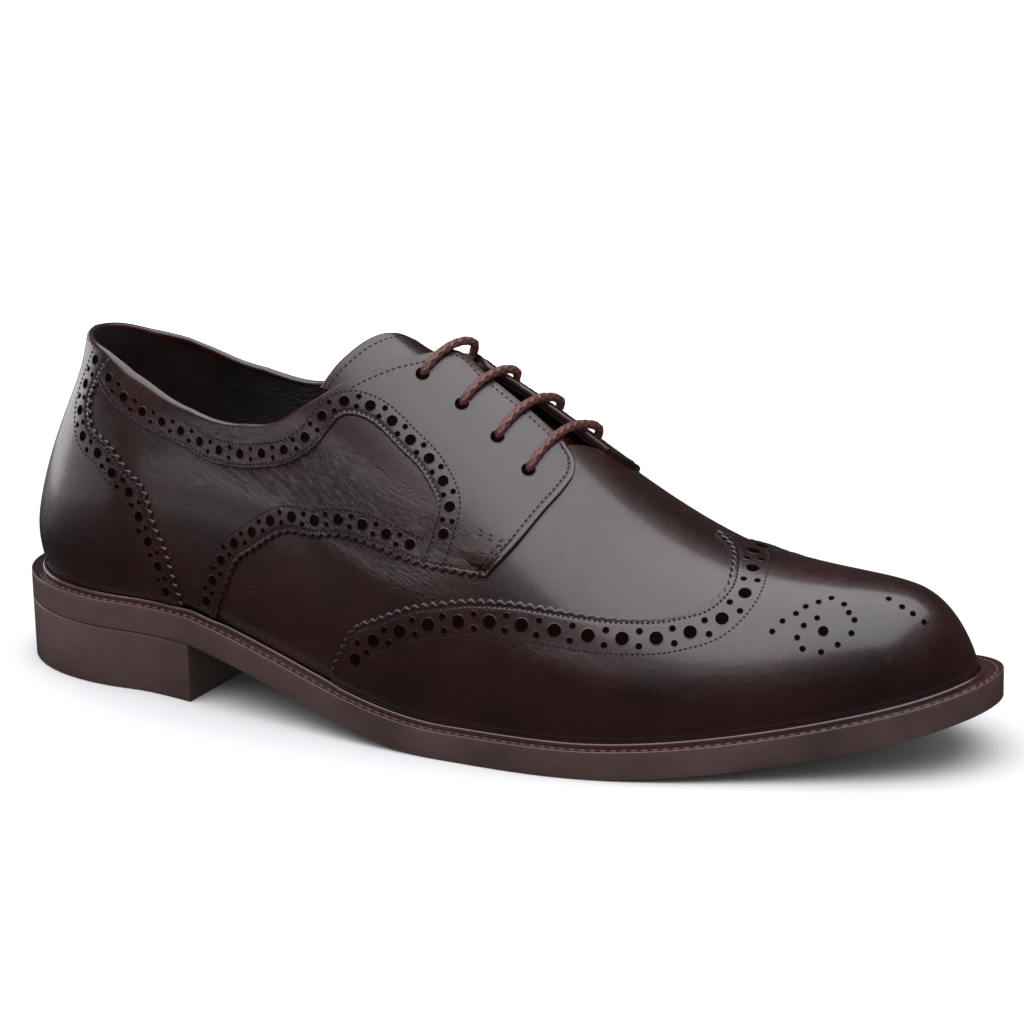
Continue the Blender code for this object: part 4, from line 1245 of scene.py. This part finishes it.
def brogueHoles():
    # The holes in the bands and the medallion on the toe
    settings = {"pitch": 7.8 * mm, "wingPitch": 9.4 * mm, "wingApart": 3.9 * mm}
    rows = []

    def take(found, lift):
        rows.append((*found, np.full(len(found[0]), lift)))

    row = moved(wingLine, -0.5 * (edgeStitch + bandWidth["wing"]))
    keep = (row[1] < 0.985) & (row[1] > 0.07)
    row = row[0][keep][::-1], row[1][keep][::-1]
    for path in (row, mirrored(row)):
        found = holeRow(path, settings["wingPitch"], 3.0 * mm, settings["wingApart"],
                        holeSizes["wing"], holeSizes["wingSmall"])
        take((*centred(found[:2]), found[2]), layers["wing"])
    row = moved(quarterLine, 0.5 * (edgeStitch + bandWidth["quarter"]))
    keep = row[0] < 152 * mm
    row = row[0][keep], row[1][keep]
    for side in (1, 2):
        take(holeRow(sided(row, side), settings["pitch"], 4.0 * mm), layers["quarter"])
    row = moved(facingLine, 0.5 * (1.2 * mm + bandWidth["facing"]))
    row = row[0][::-1], row[1][::-1]
    for side in (1, 2):
        station, level, radius = holeRow(sided(row, side), settings["pitch"], 9.0 * mm)
        narrow = np.interp(station, (105 * mm, 122 * mm), (holeSizes["collar"] / holeSizes["big"], 1))
        take((station, level, radius * narrow), layers["facing"])
    row = moved(counterLine, 0.5 * (edgeStitch + bandWidth["counter"]))
    for path in (row, (-row[0], row[1])):
        found = holeRow(path, settings["pitch"], 5.0 * mm, big=holeSizes["collar"] * 1.1)
        keep = found[1] < 0.56
        take((found[0][keep], toTopline(found[0], found[1])[keep], found[2][keep]), layers["counter"])
    medallion = [
        # station level radius
        (247, 0.50, 0.85), (249, 0.56, 0.85), (252, 0.61, 0.85), (254, 0.66, 0.85), (257, 0.70, 0.85),
        (260, 0.74, 0.85), (264, 0.70, 0.85), (266, 0.64, 0.85), (268, 0.59, 0.85), (268, 0.50, 0.85),
        (265, 0.43, 0.85), (261, 0.39, 0.85), (256, 0.41, 0.85), (254, 0.47, 0.85), (258, 0.59, 0.85),
        (255, 0.54, 0.85), (260.5, 0.51, 1.5), (275, 0.80, 0.85), (279, 0.75, 0.85), (282, 0.72, 0.85),
        (285, 0.69, 0.85),
    ]
    dots = np.array(medallion)
    across = centred((dots[:, 0], 2 - dots[:, 1] + 0.07 * np.sin(dots[:, 1] * pi / 2)**4))[1]
    for level in (dots[:, 1], across):
        take((dots[:, 0] * mm, level, dots[:, 2] * mm), layers["wing"])
    station, level, radius, lift = [np.concatenate(values) for values in zip(*rows)]
    points, faces, which = discs(station, level, radius, lift)
    # Their dark centres are painted shade of the holes' depth
    piece("brogueHoles", points, faces, ["leather", "hole"], which)


eyelets = np.array([
    # station level farLevel
    (139.6, 0.772, 1.115), (151.9, 0.768, 1.130), (163.6, 0.738, 1.165), (173.8, 0.703, 1.200),
])


def eyeletPlaces():
    # The lace holes of the near and of the far facing, as two paths
    station = eyelets[:, 0] * mm
    return (station, eyelets[:, 1]), (station + forward(station), eyelets[:, 2])


def eyeletHoles():
    # The eight lace holes
    near, far = eyeletPlaces()
    station, level = joined(near, far)
    same = np.ones(len(station))
    points, faces, which = discs(station, level, same * holeSizes["eyelet"], same * layers["facing"])
    # Their dark centres are painted shade of the holes' depth
    piece("eyeletHoles", points, faces, ["leather", "hole"], which)


def laces():
    # Each bar of the lace: a braided tube out of a hole, over the throat and into the hole across from it.
    # Its radius is radius + relief * (max(cos(4a + turn), cos(4a - turn)) - 1), a being the angle round it.
    settings = {"radius": 1.30 * mm, "strands": 8, "twist": 3.4 * mm, "relief": 0.20 * mm, "arch": 0.7 * mm,
                "sides": 32, "steps": 190}
    near, far = eyeletPlaces()
    over = layers["facing"] + settings["radius"]
    arch = settings["arch"]
    sides = settings["sides"]
    for number in range(len(eyelets)):
        share = np.linspace(0, 1, 300)
        path = (near[0][number] + (far[0][number] - near[0][number]) * share,
                near[1][number] + (far[1][number] - near[1][number]) * share)
        length = pathLength(path)
        total = length[-1]
        at = np.concatenate([np.array([0, 0.4, 1.6, 3.4]) * mm, [total * 0.3, total * 0.5, total * 0.72],
                             total - np.array([3.6, 1.9, 0.5, 0]) * mm])
        high = np.array([-1.8 * mm, layers["facing"] * 0.2, over * 0.75, over,
                         over + 0.1 * arch, over + 0.3 * arch, over + 0.8 * arch,
                         over + arch, over + 0.2 * arch, -0.2 * mm, -2.2 * mm])
        fineAt = np.linspace(0, total, settings["steps"])
        high = hermite(np.column_stack([at, high]), fineAt)[:, 0]
        station = np.interp(fineAt, length, path[0])
        level = np.interp(fineAt, length, path[1])
        centre = lifted(station, level, high)
        ahead = np.gradient(centre, axis=0)
        ahead = ahead / np.linalg.norm(ahead, axis=1, keepdims=True)
        side = np.cross(ahead, normalAt(station, level))
        side = side / np.linalg.norm(side, axis=1, keepdims=True)
        up = np.cross(side, ahead)
        run = np.append(0, np.cumsum(np.linalg.norm(np.diff(centre, axis=0), axis=1)))
        angle = np.arange(sides) * 2 * pi / sides
        half = settings["strands"] / 2
        first = np.cos(half * angle + 2 * pi * run[:, None] / settings["twist"])
        second = np.cos(half * angle - 2 * pi * run[:, None] / settings["twist"])
        radius = settings["radius"] + settings["relief"] * (np.maximum(first, second) - 1)
        radius[[0, -1]] = 0  # closed ends
        points = centre[:, None] + radius[..., None] * (side[:, None] * np.cos(angle)[None, :, None]
                                                        - up[:, None] * np.sin(angle)[None, :, None])
        faces = gridFaces(len(run), sides, wrap=True)
        made = piece(f"laceBar.{number + 1}", points, faces, ["lace"])
        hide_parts(f"lace_{number + 1}")


stitchPiece()
weltStitches()
brogueHoles()
eyeletHoles()
laces()
print("stitches, holes and laces ready")


# Floor, lights and camera
def floorMaterial():
    # White paper that glows a little more the farther it is from the shoe, so that it runs out into white
    made, nodes, links, shader = nodeTree("floorWhite")
    place = addNode(nodes, "ShaderNodeTexCoord")
    distance = addNode(nodes, "ShaderNodeVectorMath", operation="LENGTH")
    links.new(place.outputs["Object"], distance.inputs[0])
    glow = addNode(nodes, "ShaderNodeMapRange", interpolation_type="SMOOTHSTEP")
    glow.inputs["From Min"].default_value = 0.20
    glow.inputs["From Max"].default_value = 0.60
    links.new(distance.outputs["Value"], glow.inputs["Value"])
    links.new(glow.outputs["Result"], shader.inputs["Emission Strength"])
    shader.inputs["Emission Color"].default_value = (1, 1, 1, 1)
    shader.inputs["Base Color"].default_value = (0.52, 0.52, 0.52, 1)
    shader.inputs["Roughness"].default_value = 0.9
    shader.inputs["Specular IOR Level"].default_value = 0.0
    return made


def studio():
    # The floor, the world that lights it and the lamps
    settings = {"floor": 0.9, "fill": 0.75, "background": 1.05, "mirrored": 0.06, "tint": (0.96, 0.95, 1.0)}
    mesh = bpy.data.meshes.new("floor")
    size = settings["floor"]
    corners = [(-size, -size, 0), (size, -size, 0), (size, size, 0), (-size, size, 0)]
    mesh.from_pydata(corners, [], [(0, 1, 2, 3)])
    mesh.materials.append(floorMaterial())
    floor = bpy.data.objects.new("floor", mesh)
    bpy.context.collection.objects.link(floor)
    floor.visible_glossy = False
    world = bpy.data.worlds.new("studio")
    bpy.context.scene.world = world
    world.use_nodes = True
    nodes = world.node_tree.nodes
    links = world.node_tree.links
    background = nodes["Background"]
    background.inputs["Color"].default_value = (1, 1, 1, 1)
    paths = nodes.new("ShaderNodeLightPath")
    seen = addNode(nodes, "ShaderNodeMapRange")
    seen.inputs["To Min"].default_value = settings["fill"]
    seen.inputs["To Max"].default_value = settings["background"]
    links.new(paths.outputs["Is Camera Ray"], seen.inputs["Value"])
    dimmed = addNode(nodes, "ShaderNodeMapRange")
    dimmed.inputs["To Min"].default_value = 1.0
    dimmed.inputs["To Max"].default_value = settings["mirrored"]
    links.new(paths.outputs["Is Glossy Ray"], dimmed.inputs["Value"])
    strength = addNode(nodes, "ShaderNodeMath", operation="MULTIPLY")
    links.new(seen.outputs["Result"], strength.inputs[0])
    links.new(dimmed.outputs["Result"], strength.inputs[1])
    links.new(strength.outputs["Value"], background.inputs["Strength"])
    lights = [
        # name place target size radiance
        ("ceiling", (-0.05, -0.30, 1.20), (-0.05, -0.30, 0.0), (2.2, 2.4), 3.3),
        ("leftBack", (-1.2, 0.45, 0.10), (0.0, 0.0, 0.06), (1.0, 0.45), 1.8),
        ("lowLeft", (-0.42, -0.14, 0.055), (0.0, -0.06, 0.045), (0.50, 0.10), 1.0),
    ]
    for name, place, target, size, radiance in lights:
        data = bpy.data.lights.new(name, "AREA")
        data.shape = "RECTANGLE"
        data.size, data.size_y = size
        data.color = settings["tint"]
        data.energy = radiance * size[0] * size[1] * pi
        light = bpy.data.objects.new(name, data)
        light.location = place
        light.rotation_euler = (Vector(target) - Vector(place)).to_track_quat("-Z", "Y").to_euler()
        light.visible_camera = False
        bpy.context.collection.objects.link(light)


def camera():
    # The photograph's view: azimuth, elevation and roll round a target, at a distance
    settings = {"azimuth": radians(24), "elevation": radians(17.62), "roll": radians(-1.58),
                "distance": 1.17562, "target": (0.15275, 0.01505, 0.05299),
                "focalPixels": 4029.4, "pixels": 1024, "sensor": 36.0}
    a, e, r = settings["azimuth"], settings["elevation"], settings["roll"]
    back = Vector((sin(a) * cos(e), -cos(a) * cos(e), sin(e)))
    right = Vector((cos(a), sin(a), 0))
    up = back.cross(right)
    turned = right * cos(r) + up * sin(r), up * cos(r) - right * sin(r), back
    data = bpy.data.cameras.new("camera")
    data.sensor_width = settings["sensor"]
    data.lens = settings["sensor"] * settings["focalPixels"] / settings["pixels"]
    made = bpy.data.objects.new("camera", data)
    place = Vector(settings["target"]) - Vector(origin) + back * settings["distance"]
    made.matrix_world = Matrix.Translation(place) @ Matrix(turned).transposed().to_4x4()
    bpy.context.collection.objects.link(made)
    bpy.context.scene.camera = made


studio()
camera()
bpy.context.scene.view_settings.view_transform = "Standard"
print("studio ready")
